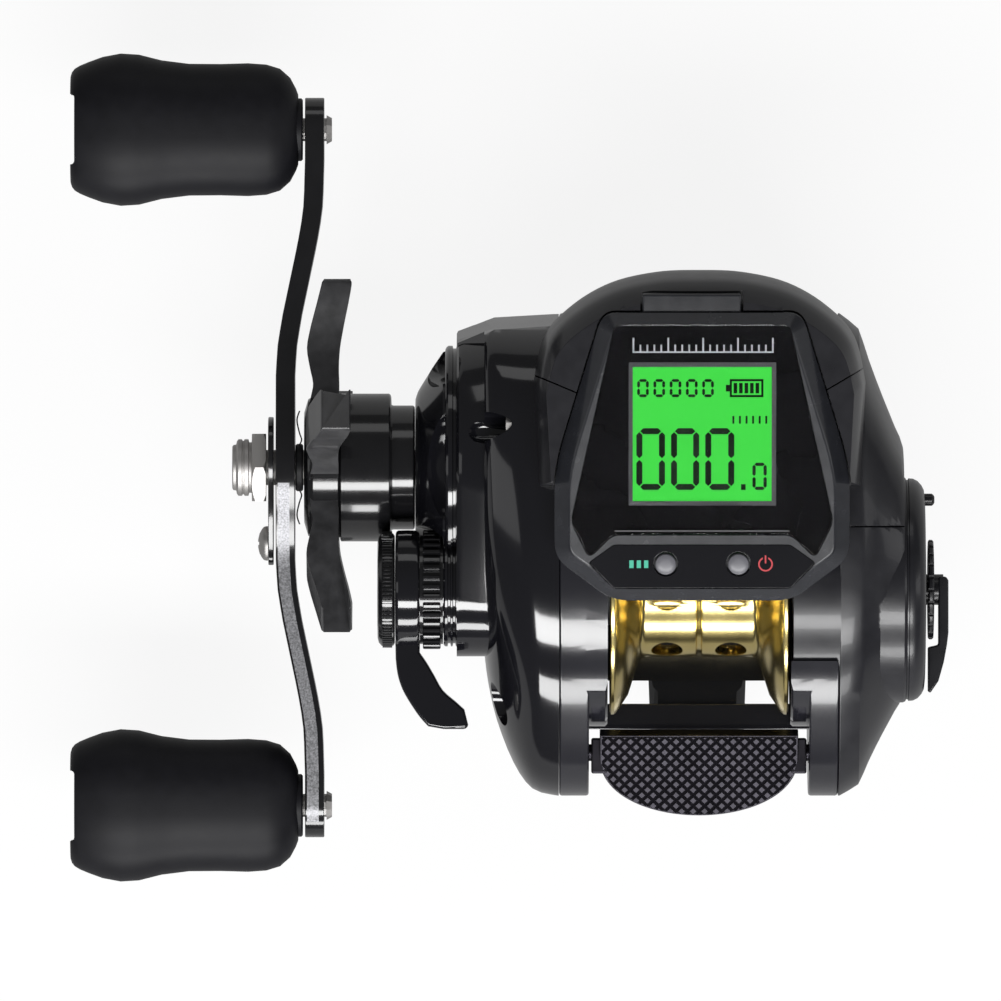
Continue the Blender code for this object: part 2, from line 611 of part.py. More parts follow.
def gear_side_cover():
    """The shell over the gears, with the drive shaft's boss and the threaded tension boss."""
    sections = []
    for depth, y_share, z_share in GEAR_COVER_SHARES:
        outline = side_outline(y_share, z_share, *GEAR_COVER_PIVOT)
        sections.append(at_x(outline, -COVER_FACE - depth * GEAR_COVER_DEPTH))
    cover = loft("gear_side_cover", sections)
    edge = HOUSING_OUTER + HOUSING_EDGE
    join(cover, loft("housing", [at_x(housing_outline(), -COVER_FACE - OVERRUN), at_x(housing_outline(),
                                                            edge),
                                 at_x(housing_outline(-HOUSING_EDGE), HOUSING_OUTER)]))
    nose = [(HOUSING_OUTER + OVERRUN, 0), (HOUSING_OUTER + OVERRUN, SHAFT_BOSS_FOOT_RADIUS),
            (HOUSING_OUTER - OVERRUN, SHAFT_BOSS_FOOT_RADIUS), (SHAFT_BOSS_END + OVERRUN,
                                                            SHAFT_BOSS_NOSE_RADIUS),
            (SHAFT_BOSS_END, SHAFT_BOSS_NOSE_RADIUS - GAP), (SHAFT_BOSS_END, 0)]
    join(cover, moved(turned("nose", nose), CRANK_Y, CRANK_Z))
    lever_room = disc("room", HOUSING_OUTER - THREAD_RINGS_WIDTH, SHAFT_BOSS_END - OVERRUN, LEVER_ROOM_RADIUS)
    cut(cover, moved(lever_room, 0, SPOOL_AXIS_HEIGHT))
    boss = disc("boss", HOUSING_OUTER + OVERRUN, TENSION_BOSS_END, TENSION_BOSS_RADIUS)
    join(cover, moved(boss, 0, SPOOL_AXIS_HEIGHT))

    mouth = -COVER_FACE + OVERRUN
    rooms = (
        (disc("room", HOUSING_INNER, mouth, GEAR_ROOM_RADIUS, LARGE_SIDES), CRANK_Y, CRANK_Z),
        (disc("room", HOUSING_INNER, mouth, HOUSING_TAIL_RADIUS - HOUSING_WALL, MIDDLE_SIDES), 0,
         SPOOL_AXIS_HEIGHT),
        (disc("room", LEVEL_FAR - 2 * GAP, mouth, COG_ROOM_RADIUS, MIDDLE_SIDES), WORM_Y, WORM_Z),
        (disc("room", SHAFT_BOSS_END - OVERRUN, mouth, CLUTCH_RADIUS + GAP, MIDDLE_SIDES), CRANK_Y, CRANK_Z),
        (disc("room", TENSION_BOSS_END - OVERRUN, mouth, SMALL_BEARING_RADIUS + GAP, MIDDLE_SIDES), 0,
         SPOOL_AXIS_HEIGHT),
    )
    for room, y, z in rooms:
        cut(cover, moved(room, y, z))
    far = -COVER_FACE - GEAR_COVER_DEPTH - OVERRUN
    for head_x, head_radius, y, z in COVER_SCREWS:
        seat = disc("hole", far, head_x + GAP, head_radius + GAP, MIDDLE_SIDES)
        shank_hole = disc("hole", far, mouth, COVER_SCREW_RADIUS + GAP, SMALL_SIDES)
        cut(cover, moved(seat, y, z), moved(shank_hole, y, z))
    return finish(cover, BLACK_GLOSS, 0.12)


COG_ROOM_RADIUS = (COG_TEETH / 2 + 1) * LEVEL_MODULE + 2 * GAP
COVER_SCREWS = (
    (REAR_SCREW_HEAD_X, COVER_SCREW_HEAD_RADIUS, REAR_SCREW_Y, REAR_SCREW_Z),
    (FRONT_SCREW_HEAD_X, COVER_SCREW_HEAD_RADIUS * 0.7, FRONT_SCREW_Y, FRONT_SCREW_Z),
)
THREAD_RINGS_WIDTH = 1.7 * MM


def cover_screws():
    """The sunk screw at the tail and the smaller one in a notch of the shoulder."""
    for name, (head_x, head_radius, y, z) in zip(("rear", "front"), COVER_SCREWS):
        top = head_x - COVER_SCREW_HEAD_HEIGHT
        screw = turned("gear_cover_screw_" + name, [
            (top, 0), (top, head_radius), (head_x, head_radius), (head_x, COVER_SCREW_RADIUS),
            (COVER_SCREW_END, COVER_SCREW_RADIUS), (COVER_SCREW_END, 0)], SMALL_SIDES)
        cut(screw, disc("socket", top - OVERRUN, top + COVER_SCREW_HEAD_HEIGHT / 2, head_radius * 0.5, 6))
        finish(moved(screw, y, z), STEEL, 0.25, 1.0)


# Palm side cover
PALM_COVER_DEPTH = 8.2 * MM
PALM_COVER_SHARES = (
    (0.0, 1.0, 1.0), (0.3, 0.945, 0.98), (0.47, 0.83, 0.95), (0.68, 0.70, 0.92),
    (0.88, 0.59, 0.88), (1.0, 0.52, 0.84),
)
PALM_BOSS_RADIUS = 14.7 * MM
PALM_BOSS_FACE = 29.5 * MM
PALM_BOSS_EDGE = 1.6 * MM
PALM_ROOM_RADIUS = 12.6 * MM
PALM_HUB_RADIUS = 6.2 * MM
PALM_SPIGOT_RADIUS = SPOOL_FLANGE_RADIUS + 2 * GAP
PALM_SPLIT_Y = 8.1 * MM
PALM_ROOM_END = 24.8 * MM
PALM_FACE = COVER_FACE + PALM_COVER_DEPTH


def palm_shell(name):
    """The skin of the palm side from the frame out to the round boss."""
    sections = []
    for depth, y_share, z_share in PALM_COVER_SHARES:
        outline = side_outline(y_share, z_share, 0, SPOOL_AXIS_HEIGHT * 0.92)
        sections.append(at_x(outline, COVER_FACE + depth * PALM_COVER_DEPTH))
    return loft(name, sections)


def palm_covers():
    """The removable side cover that closes the spool's hole, and the fixed shoulder ahead of it."""
    far = BODY_FRONT + OVERRUN
    face = PALM_FACE - GAP
    front = palm_shell("palm_front_cover")
    ahead = block("half", (0, PALM_SPLIT_Y + GAP, 0), (face, far, BODY_TOP + OVERRUN))
    trim(front, ahead)
    socket = disc("socket", COVER_FACE - OVERRUN, PALM_FACE + OVERRUN, PALM_BOSS_RADIUS + GAP, LARGE_SIDES)
    cut(front, moved(socket, 0, SPOOL_AXIS_HEIGHT))
    bush_room = disc("room", COVER_FACE - OVERRUN, COVER_FACE + WORM_END_ROOM, SMALL_BEARING_RADIUS,
                     SMALL_SIDES)
    cut(front, moved(bush_room, WORM_Y, WORM_Z))
    finish(front, BLACK_SATIN, 0.3)

    side = palm_shell("palm_side_cover")
    cut(side, block("half", (0, PALM_SPLIT_Y, 0), (PALM_FACE + OVERRUN, far, BODY_TOP + OVERRUN)))
    boss_rim = PALM_BOSS_RADIUS - PALM_BOSS_EDGE
    plug = turned("plug", [
        (RING_INNER + GAP, 0), (RING_INNER + GAP, PALM_SPIGOT_RADIUS - GAP), (COVER_FACE - GAP,
                                                            PALM_SPIGOT_RADIUS - GAP),
        (COVER_FACE - GAP, PALM_BOSS_RADIUS), (PALM_BOSS_FACE - PALM_BOSS_EDGE, PALM_BOSS_RADIUS),
        (PALM_BOSS_FACE - PALM_BOSS_EDGE * 0.3, boss_rim + PALM_BOSS_EDGE * 0.7), (PALM_BOSS_FACE, boss_rim),
        (PALM_BOSS_FACE, 0),
    ], LARGE_SIDES)
    join(side, moved(plug, 0, SPOOL_AXIS_HEIGHT))
    near = RING_INNER
    brake_room = ring("room", near - OVERRUN, PALM_ROOM_END, PALM_ROOM_RADIUS, PALM_HUB_RADIUS)
    bearing_seat = disc("seat", near - OVERRUN, near + GAP * 3 + SMALL_BEARING_WIDTH,
                        SMALL_BEARING_RADIUS + GAP, MIDDLE_SIDES)
    shaft_room = disc("seat", near - OVERRUN, SHAFT_PALM_END + GAP, SPOOL_SHAFT_RADIUS + 2 * GAP, SMALL_SIDES)
    stem_hole = disc("seat", PALM_BOSS_FACE - BRAKE_STEM_LENGTH - GAP, PALM_BOSS_FACE + OVERRUN,
                     BRAKE_STEM_RADIUS + GAP, SMALL_SIDES)
    for tool in (brake_room, bearing_seat, shaft_room, stem_hole):
        cut(side, moved(tool, 0, SPOOL_AXIS_HEIGHT))
    pin_hole = disc("seat", PALM_BOSS_FACE - STOP_PIN_DEPTH - GAP, PALM_BOSS_FACE + OVERRUN,
                    STOP_PIN_RADIUS + GAP, SMALL_SIDES)
    cut(side, moved(pin_hole, STOP_PIN_REACH, SPOOL_AXIS_HEIGHT))
    return finish(side, BLACK_SATIN, 0.3)


WORM_END_ROOM = 1.5 * MM
SHAFT_PALM_END = 19.5 * MM

# Brake dial with its lever, on the palm side
BRAKE_STEM_RADIUS = 2.0 * MM
BRAKE_STEM_LENGTH = 2.5 * MM
BRAKE_DIAL_RADIUS = 6.5 * MM
BRAKE_DIAL_WIDTH = 0.7 * MM
BRAKE_LEVER_TOP = 32.5 * MM
BRAKE_LEVER_THICKNESS = 1.3 * MM
BRAKE_LEVER_HALF_WIDTH = 2.1 * MM
BRAKE_LEVER_REACH = 13.2 * MM
BRAKE_LEVER_HEEL = 1.7 * MM
BRAKE_PAD_LENGTH = 6.0 * MM
STOP_PIN_RADIUS = 0.8 * MM
STOP_PIN_REACH = 11.7 * MM
STOP_PIN_DEPTH = 2.0 * MM
STOP_PIN_TOP = 30.7 * MM
MAGNET_RING_WIDTH = 2.4 * MM


def brake_pieces(spool_axis):
    """The dial and lever that set the cast brake, their stop pin and the magnets they move."""
    low = PALM_BOSS_FACE + GAP
    lever = disc("brake_lever", low, low + BRAKE_DIAL_WIDTH, BRAKE_DIAL_RADIUS, MIDDLE_SIDES, spool_axis)
    top, under = BRAKE_LEVER_TOP, BRAKE_LEVER_TOP - BRAKE_LEVER_THICKNESS
    reach, pad = BRAKE_LEVER_REACH, BRAKE_LEVER_REACH - BRAKE_PAD_LENGTH
    profile = [(under, BRAKE_LEVER_HEEL), (under, -pad), (low, -pad - GAP), (low, -reach),
               (low + GAP, -reach - GAP), (top - BRAKE_LEVER_THICKNESS, -reach + BRAKE_LEVER_THICKNESS),
               (top - GAP, -pad), (top, -pad + BRAKE_LEVER_THICKNESS), (top, BRAKE_LEVER_HEEL)]
    half = BRAKE_LEVER_HALF_WIDTH
    arm = loft("arm", [[(x, y, -half) for x, y in profile], [(x, y, half) for x, y in profile]], spool_axis)
    stem = disc("stem", PALM_BOSS_FACE - BRAKE_STEM_LENGTH, top - BRAKE_LEVER_THICKNESS / 2,
                BRAKE_STEM_RADIUS, SMALL_SIDES, spool_axis)
    finish(join(lever, arm, stem), BLACK_SATIN, 0.35)
    pin = disc("brake_stop_pin", PALM_BOSS_FACE - STOP_PIN_DEPTH, STOP_PIN_TOP, STOP_PIN_RADIUS, SMALL_SIDES)
    finish(moved(pin, STOP_PIN_REACH, SPOOL_AXIS_HEIGHT), BLACK_SATIN, 0.35)
    near = RING_INNER + 2 * GAP
    magnets = ring("brake_magnet_ring", near, near + MAGNET_RING_WIDTH, PALM_ROOM_RADIUS - GAP,
                   PALM_HUB_RADIUS + GAP)
    finish(moved(magnets, 0, SPOOL_AXIS_HEIGHT), STEEL, 0.35, 1.0)


def bearing(name, low, width, outer, inner, y, z, colour=STEEL, metallic=1.0):
    """A bearing or bush, as one plain ring."""
    piece = ring(name, low, low + width, outer, inner, MIDDLE_SIDES)
    return finish(moved(piece, y, z), colour, 0.3, metallic)


def bearings():
    """The bearings and bushes that sit in the frame and the covers."""
    far_seat = -BEARING_NEAR - GAP
    bearing("drive_shaft_bearing", far_seat - SMALL_BEARING_WIDTH, SMALL_BEARING_WIDTH,
            SMALL_BEARING_RADIUS, SHAFT_END_RADIUS + RUNNING_GAP, CRANK_Y, CRANK_Z)
    bearing("pinion_bearing", far_seat - SMALL_BEARING_WIDTH, SMALL_BEARING_WIDTH,
            PINION_BEARING_RADIUS, PINION_TAIL_RADIUS + RUNNING_GAP, 0, SPOOL_AXIS_HEIGHT)
    bearing("tension_bearing", TENSION_BEARING_NEAR - SMALL_BEARING_WIDTH, SMALL_BEARING_WIDTH,
            SMALL_BEARING_RADIUS, SPOOL_SHAFT_RADIUS + RUNNING_GAP, 0, SPOOL_AXIS_HEIGHT)
    bearing("palm_bearing", RING_INNER + 2 * GAP, SMALL_BEARING_WIDTH,
            SMALL_BEARING_RADIUS, SPOOL_SHAFT_RADIUS + RUNNING_GAP, 0, SPOOL_AXIS_HEIGHT)
    bearing("worm_bush", BEARING_NEAR + GAP, SMALL_BEARING_WIDTH,
            SMALL_BEARING_RADIUS, WORM_JOURNAL_RADIUS + RUNNING_GAP, WORM_Y, WORM_Z, (0.75, 0.75, 0.72), 0.0)
    bearing("one_way_clutch", SHAFT_BOSS_END + GAP, CLUTCH_WIDTH,
            CLUTCH_RADIUS, SLEEVE_RADIUS + RUNNING_GAP, CRANK_Y, CRANK_Z)


TENSION_BEARING_NEAR = HOUSING_OUTER - THREAD_RINGS_WIDTH
SHAFT_END_RADIUS = 2.0 * MM

# Drive shaft stack
SHAFT_INNER_END = -BEARING_NEAR - 2 * GAP
DRAG_CUP_RADIUS = 11.5 * MM
MAIN_WEB = 1.5 * MM
DRAG_WASHER_WIDTH = 0.6 * MM
PRESSURE_PLATE_WIDTH = 1.0 * MM

# Handle, from the star drag outwards
STAR_FACE = -51.4 * MM
STAR_DISC_WIDTH = 4.6 * MM
STAR_HUB_RADIUS = 9.4 * MM
STAR_HUB_WIDTH = 6.7 * MM
STAR_COLLAR_RADIUS = 8.1 * MM
STAR_ARMS = 5
STAR_TIP_RADIUS = 24.6 * MM
STAR_COLLAR_END = SHAFT_BOSS_END - GAP
SPACER_WIDTH = 0.6 * MM
SPACER_RADIUS = 3.0 * MM
ARM_THICKNESS = 2.5 * MM
ARM_MIDDLE_X = STAR_FACE - GAP - SPACER_WIDTH - GAP - ARM_THICKNESS / 2
ARM_RISE = 3.8 * MM
ARM_RISE_START = 12.5 * MM
ARM_RISE_END = 33.5 * MM
GRIP_REACH = 44.1 * MM
ARM_MIDDLE_HALF_WIDTH = 7.4 * MM
ARM_HALF_WIDTH = 4.5 * MM
ARM_END_RADIUS = 4.2 * MM
ARM_SLOT = (15.5 * MM, 31.0 * MM)
ARM_SLOT_HALF_WIDTH = 1.5 * MM
RETAINER_WIDTH = 0.7 * MM
NUT_FLATS = 8.8 * MM
NUT_WIDTH = 2.2 * MM
NUT_NOSE_RADIUS = 3.7 * MM
NUT_NOSE_WIDTH = 2.2 * MM
RETAINER_SCREW_REACH = 9.9 * MM
SPINDLE_RADIUS = 1.5 * MM
SPINDLE_HEAD_RADIUS = 1.9 * MM
SPINDLE_HEAD_WIDTH = 0.7 * MM
RETAINER_NEAR = ARM_MIDDLE_X - ARM_THICKNESS / 2 - GAP
RETAINER_FAR = RETAINER_NEAR - RETAINER_WIDTH
NUT_NEAR = RETAINER_FAR - GAP
NUT_FAR = NUT_NEAR - NUT_WIDTH
NOSE_FAR = NUT_FAR - NUT_NOSE_WIDTH
ARM_END_X = ARM_MIDDLE_X + ARM_RISE


def crank_train(axis):
    """The drive shaft with its gears, drag stack and one-way sleeve."""
    heading = math.atan2(CRANK_DROP, -CRANK_Y)
    worm_heading = math.atan2(WORM_Z - CRANK_Z, WORM_Y - CRANK_Y)
    shaft = turned("drive_shaft", [
        (SHAFT_INNER_END, 0), (SHAFT_INNER_END, SHAFT_END_RADIUS), (-COVER_FACE, SHAFT_END_RADIUS),
        (-COVER_FACE - GAP, SHAFT_RADIUS), (SHAFT_FLANGE_NEAR, SHAFT_RADIUS),
        (SHAFT_FLANGE_NEAR, SHAFT_FLANGE_RADIUS), (SHAFT_FLANGE_FAR, SHAFT_FLANGE_RADIUS),
        (SHAFT_FLANGE_FAR, SHAFT_RADIUS), (NOSE_FAR + GAP, SHAFT_RADIUS), (NOSE_FAR + GAP, 0),
    ], MIDDLE_SIDES, axis)
    finish(shaft, STEEL, 0.25, 1.0)
    bore = SHAFT_RADIUS + GAP
    level = gear("level_wind_gear", LEVEL_TEETH, LEVEL_MODULE, LEVEL_FAR, LEVEL_NEAR, bore, worm_heading,
                 axis)
    finish(level, (0.8, 0.8, 0.78), 0.45)
    main = gear("main_gear", MAIN_TEETH, GEAR_MODULE, MAIN_FAR, MAIN_NEAR, bore, heading, axis)
    web_face = MAIN_NEAR - MAIN_WEB
    cut(main, disc("cup", MAIN_FAR - OVERRUN, web_face, DRAG_CUP_RADIUS, MIDDLE_SIDES, axis))
    finish(main, BRASS, 0.3, 1.0)
    washer_far = web_face - GAP - DRAG_WASHER_WIDTH
    washer = ring("drag_washer", washer_far, web_face - GAP, DRAG_CUP_RADIUS - GAP, bore, MIDDLE_SIDES, axis)
    finish(washer, CARBON, 0.6)
    plate_near = washer_far - GAP
    plate_far = plate_near - PRESSURE_PLATE_WIDTH
    plate = ring("pressure_plate", plate_far, plate_near, DRAG_CUP_RADIUS - GAP, bore, MIDDLE_SIDES, axis)
    finish(plate, STEEL, 0.3, 1.0)
    sleeve = ring("one_way_sleeve", SHAFT_BOSS_END, plate_far - GAP, SLEEVE_RADIUS, bore, MIDDLE_SIDES, axis)
    finish(sleeve, STEEL, 0.25, 1.0)
    spacer_near = STAR_FACE - GAP
    spacer = ring("handle_spacer", spacer_near - SPACER_WIDTH, spacer_near, SPACER_RADIUS, bore,
                  MIDDLE_SIDES, axis)
    finish(spacer, STEEL, 0.3, 1.0)


def arm_middle(reach):
    """How far out the handle arm's middle plane lies at a distance from the crank axis."""
    t = (abs(reach) - ARM_RISE_START) / (ARM_RISE_END - ARM_RISE_START)
    t = min(max(t, 0), 1)
    return ARM_MIDDLE_X + ARM_RISE * t * t * (3 - 2 * t)


def arm_half_width(reach):
    """Half the handle arm's width: a wide middle, slim arms and round ends."""
    reach = abs(reach)
    if reach > GRIP_REACH:
        return math.sqrt(max(ARM_END_RADIUS ** 2 - (reach - GRIP_REACH) ** 2, 0))
    t = min(reach / ARM_RISE_START, 1)
    waist = ARM_MIDDLE_HALF_WIDTH + (ARM_HALF_WIDTH - ARM_MIDDLE_HALF_WIDTH) * t * t * (3 - 2 * t)
    u = max(reach - ARM_RISE_START, 0) / (GRIP_REACH - ARM_RISE_START)
    return waist + (ARM_END_RADIUS - ARM_HALF_WIDTH) * u


def handle(axis):
    """The bowed arm with its nut, the nut's retainer and screw."""
    stations = 11
    end_steps = 3
    half_length = [GRIP_REACH * i / stations for i in range(stations + 1)]
    half_length += [GRIP_REACH + ARM_END_RADIUS * math.sin(math.pi / 2 * i / end_steps) * 0.995
                    for i in range(1, end_steps + 1)]
    reaches = [-reach for reach in half_length[:0:-1]] + half_length
    sections = []
    for reach in reaches:
        half, x = arm_half_width(reach), arm_middle(reach)
        near, far = x + ARM_THICKNESS / 2, x - ARM_THICKNESS / 2
        edge = min(half * 0.25, ARM_THICKNESS * 0.16)
        sections.append([(far + edge, reach, -half), (near - edge, reach, -half), (near, reach, -half + edge),
                         (near, reach, half - edge), (near - edge, reach, half), (far + edge, reach, half),
                         (far, reach, half - edge), (far, reach, -half + edge)])
    arm = loft("handle_arm", sections, axis)
    low, high = ARM_MIDDLE_X - ARM_THICKNESS, ARM_MIDDLE_X + ARM_RISE + ARM_THICKNESS
    cut(arm, disc("bore", low, high, SHAFT_RADIUS + GAP, MIDDLE_SIDES, axis))
    for side in (-1, 1):
        hole = circle(SPINDLE_RADIUS + GAP, SMALL_SIDES, side * GRIP_REACH)
        cut(arm, loft("hole", [at_x(hole, low), at_x(hole, high)], axis))
        start, end = sorted((side * ARM_SLOT[0], side * ARM_SLOT[1]))
        slot = rounded(rectangle(start, end, -ARM_SLOT_HALF_WIDTH, ARM_SLOT_HALF_WIDTH), ARM_SLOT_HALF_WIDTH)
        cut(arm, loft("slot", [at_x(slot, low), at_x(slot, high)], axis))
    screw_hole = circle(RETAINER_SCREW_RADIUS + GAP, 12, -RETAINER_SCREW_REACH)
    screw_tip = ARM_MIDDLE_X + RETAINER_SCREW_TIP
    cut(arm, loft("hole", [at_x(screw_hole, low), at_x(screw_hole, screw_tip + GAP)], axis))
    finish(arm, BLACK_SATIN, 0.4, 0.3)

    corner = NUT_FLATS / math.sqrt(3)
    hexagon = [(corner * math.cos(math.pi / 3 * i + math.pi / 2),
                corner * math.sin(math.pi / 3 * i + math.pi / 2))
               for i in range(6)]
    nut = loft("handle_nut", [at_x(hexagon, NUT_FAR), at_x(hexagon, NUT_NEAR)], axis)
    chamfer = turned("chamfer", [(NUT_FAR - OVERRUN, 0), (NUT_FAR, NUT_FLATS / 2),
                                 (NUT_NEAR - NUT_WIDTH / 2, corner * 1.1),
                                 (NUT_NEAR + OVERRUN, corner * 1.1), (NUT_NEAR + OVERRUN, 0)],
                                 MIDDLE_SIDES, axis)
    trim(nut, chamfer)
    nose = turned("nose", [(NOSE_FAR, 0), (NOSE_FAR, NUT_NOSE_RADIUS - GAP), (NOSE_FAR + GAP,
                                                            NUT_NOSE_RADIUS),
                           (NUT_FAR + NUT_WIDTH / 2, NUT_NOSE_RADIUS), (NUT_FAR + NUT_WIDTH / 2, 0)],
                           MIDDLE_SIDES, axis)
    join(nut, nose)
    cut(nut, disc("bore", NOSE_FAR - OVERRUN, NUT_NEAR + OVERRUN, SHAFT_RADIUS + GAP, MIDDLE_SIDES, axis))
    finish(nut, STEEL, 0.3, 1.0)

    half = NUT_FLATS * 0.62
    outline = rounded([(-RETAINER_SCREW_REACH - half * 0.5, -half * 0.55), (half, -half), (half * 1.15,
                                                            0), (half, half),
                       (-RETAINER_SCREW_REACH - half * 0.5, half * 0.55)], half * 0.4)
    retainer = loft("nut_retainer", [at_x(outline, RETAINER_FAR), at_x(outline, RETAINER_NEAR)], axis)
    cut(retainer, disc("bore", RETAINER_FAR - OVERRUN, RETAINER_NEAR + OVERRUN, SHAFT_RADIUS + GAP,
                       MIDDLE_SIDES, axis))
    cut(retainer, loft("hole", [at_x(screw_hole, RETAINER_FAR - OVERRUN), at_x(screw_hole,
                                                            RETAINER_NEAR + OVERRUN)], axis))
    finish(retainer, BLACK_GLOSS, 0.25)

    top = RETAINER_FAR - GAP
    head = RETAINER_SCREW_HEAD
    screw = turned("retainer_screw", [(top - head * 0.45, 0), (top - head * 0.38, head * 0.5),
                                      (top - head * 0.2, head * 0.85),
                                      (top, head), (top, RETAINER_SCREW_RADIUS), (screw_tip,
                                                            RETAINER_SCREW_RADIUS),
                                      (screw_tip, 0)], SMALL_SIDES, axis)
    screw.location = (0, -RETAINER_SCREW_REACH, 0)
    finish(screw, STEEL, 0.25, 1.0)


RETAINER_SCREW_RADIUS = 1.0 * MM
RETAINER_SCREW_HEAD = 2.25 * MM
RETAINER_SCREW_TIP = 0.4 * MM

# Star drag arms: radius, middle of the arm, its thickness and its width at each station
STAR_ARM_STATIONS = (
    (7.0 * MM, 2.6 * MM, 4.0 * MM, 9.0 * MM), (11.0 * MM, 2.8 * MM, 3.4 * MM, 6.4 * MM),
    (15.6 * MM, 2.5 * MM, 4.3 * MM, 5.2 * MM), (18.0 * MM, 2.9 * MM, 4.3 * MM, 5.4 * MM),
    (21.5 * MM, 3.7 * MM, 4.1 * MM, 5.8 * MM), (24.6 * MM, 4.3 * MM, 3.9 * MM, 5.6 * MM),
)


def star_drag(axis):
    """The star wheel: a stepped hub with kinked arms that lean towards the body at their tips."""
    disc_near = STAR_FACE + STAR_DISC_WIDTH
    hub_near = disc_near + STAR_HUB_WIDTH
    bore = SHAFT_RADIUS + GAP
    rim = STAR_HUB_RADIUS
    star = turned("star_drag", [
        (STAR_FACE, bore), (STAR_FACE, rim - 2 * OVERRUN), (STAR_FACE + OVERRUN, rim),
        (hub_near - GAP, rim), (hub_near, rim - GAP), (hub_near, STAR_COLLAR_RADIUS),
        (STAR_COLLAR_END - GAP, STAR_COLLAR_RADIUS), (STAR_COLLAR_END, STAR_COLLAR_RADIUS - GAP),
        (STAR_COLLAR_END, bore),
    ], ROUND_SIDES, axis)
    for i in range(STAR_ARMS):
        turn = Matrix.Rotation(2 * math.pi * i / STAR_ARMS, 4, "X")
        sections = []
        for radius, middle, thickness, width in STAR_ARM_STATIONS:
            x = STAR_FACE + middle
            edge = width * 0.2
            low, high = x - thickness / 2, x + thickness / 2
            half = width / 2
            corners = [(low, radius, -half + edge), (low, radius, half - edge), (x, radius, half),
                       (high, radius, half - edge), (high, radius, -half + edge), (x, radius, -half)]
            sections.append([turn @ Vector(corner) for corner in corners])
        join(star, loft("arm", sections, axis))
    return finish(star, BLACK_SATIN, 0.28)


# Grips: share of the length from the outer end, half height and half depth
GRIP_LENGTH = 29.7 * MM
GRIP_HALF_HEIGHT = 9.95 * MM
GRIP_HALF_DEPTH = 8.0 * MM
GRIP_SHARES = (
    (0.0, 0.68), (0.02, 0.80), (0.10, 0.92), (0.22, 1.0), (0.30, 0.985), (0.42, 0.90),
    (0.54, 0.86), (0.78, 0.87), (0.88, 0.84), (0.95, 0.73), (1.0, 0.47),
)
GRIP_NECK_RADIUS = 4.1 * MM
GRIP_NECK_LENGTH = 0.6 * MM
GRIP_CAP_SHARE = 0.5
GRIP_CAP_DEPTH = 1.6 * MM
GRIP_SIDES = 14


def grip_outline(scale):
    """A softened oval, taller than it is deep."""
    points = []
    for y, z in circle(1, GRIP_SIDES):
        power = 0.82
        points.append((math.copysign(abs(y) ** power, y) * GRIP_HALF_HEIGHT * scale,
                       math.copysign(abs(z) ** power, z) * GRIP_HALF_DEPTH * scale))
    return points


def grip(name, axis, arm_axis, side):
    """One grip with its end cap, and the spindle that it turns on."""
    neck_near = ARM_END_X - ARM_THICKNESS / 2 - GAP
    neck_far = neck_near - GRIP_NECK_LENGTH
    outer = neck_far - GRIP_LENGTH
    sections = [at_x(grip_outline(scale), outer + share * GRIP_LENGTH) for share, scale in GRIP_SHARES]
    piece = loft("grip_" + name, sections, axis)
    join(piece, disc("neck", neck_far - OVERRUN, neck_near, GRIP_NECK_RADIUS, MIDDLE_SIDES, axis))
    pocket = grip_outline(GRIP_CAP_SHARE)
    floor = outer + GRIP_CAP_DEPTH
    cut(piece, loft("pocket", [at_x(grown(pocket, GAP), outer - OVERRUN), at_x(grown(pocket, GAP),
                                                            floor)], axis))
    spindle_end = floor + OVERRUN
    cut(piece, disc("bore", spindle_end - GAP, neck_near + OVERRUN, SPINDLE_RADIUS + RUNNING_GAP,
                    SMALL_SIDES, axis))
    finish(piece, (0.014, 0.014, 0.016), 0.6)
    cap_far = outer + GAP
    cap = loft("grip_cap_" + name, [at_x(grip_outline(GRIP_CAP_SHARE * 0.9), cap_far), at_x(pocket,
                                                            cap_far + GAP),
                                    at_x(pocket, floor - GAP)], axis)
    finish(cap, BLACK_SATIN, 0.35)
    head_near = ARM_END_X + ARM_THICKNESS / 2 + GAP
    spindle = turned("grip_spindle_" + name, [
        (spindle_end, 0), (spindle_end, SPINDLE_RADIUS), (head_near, SPINDLE_RADIUS), (head_near,
                                                            SPINDLE_HEAD_RADIUS),
        (head_near + SPINDLE_HEAD_WIDTH, SPINDLE_HEAD_RADIUS * 0.8), (head_near + SPINDLE_HEAD_WIDTH, 0),
    ], SMALL_SIDES, arm_axis)
    spindle.location = (0, side * GRIP_REACH, 0)
    finish(spindle, STEEL, 0.25, 1.0)


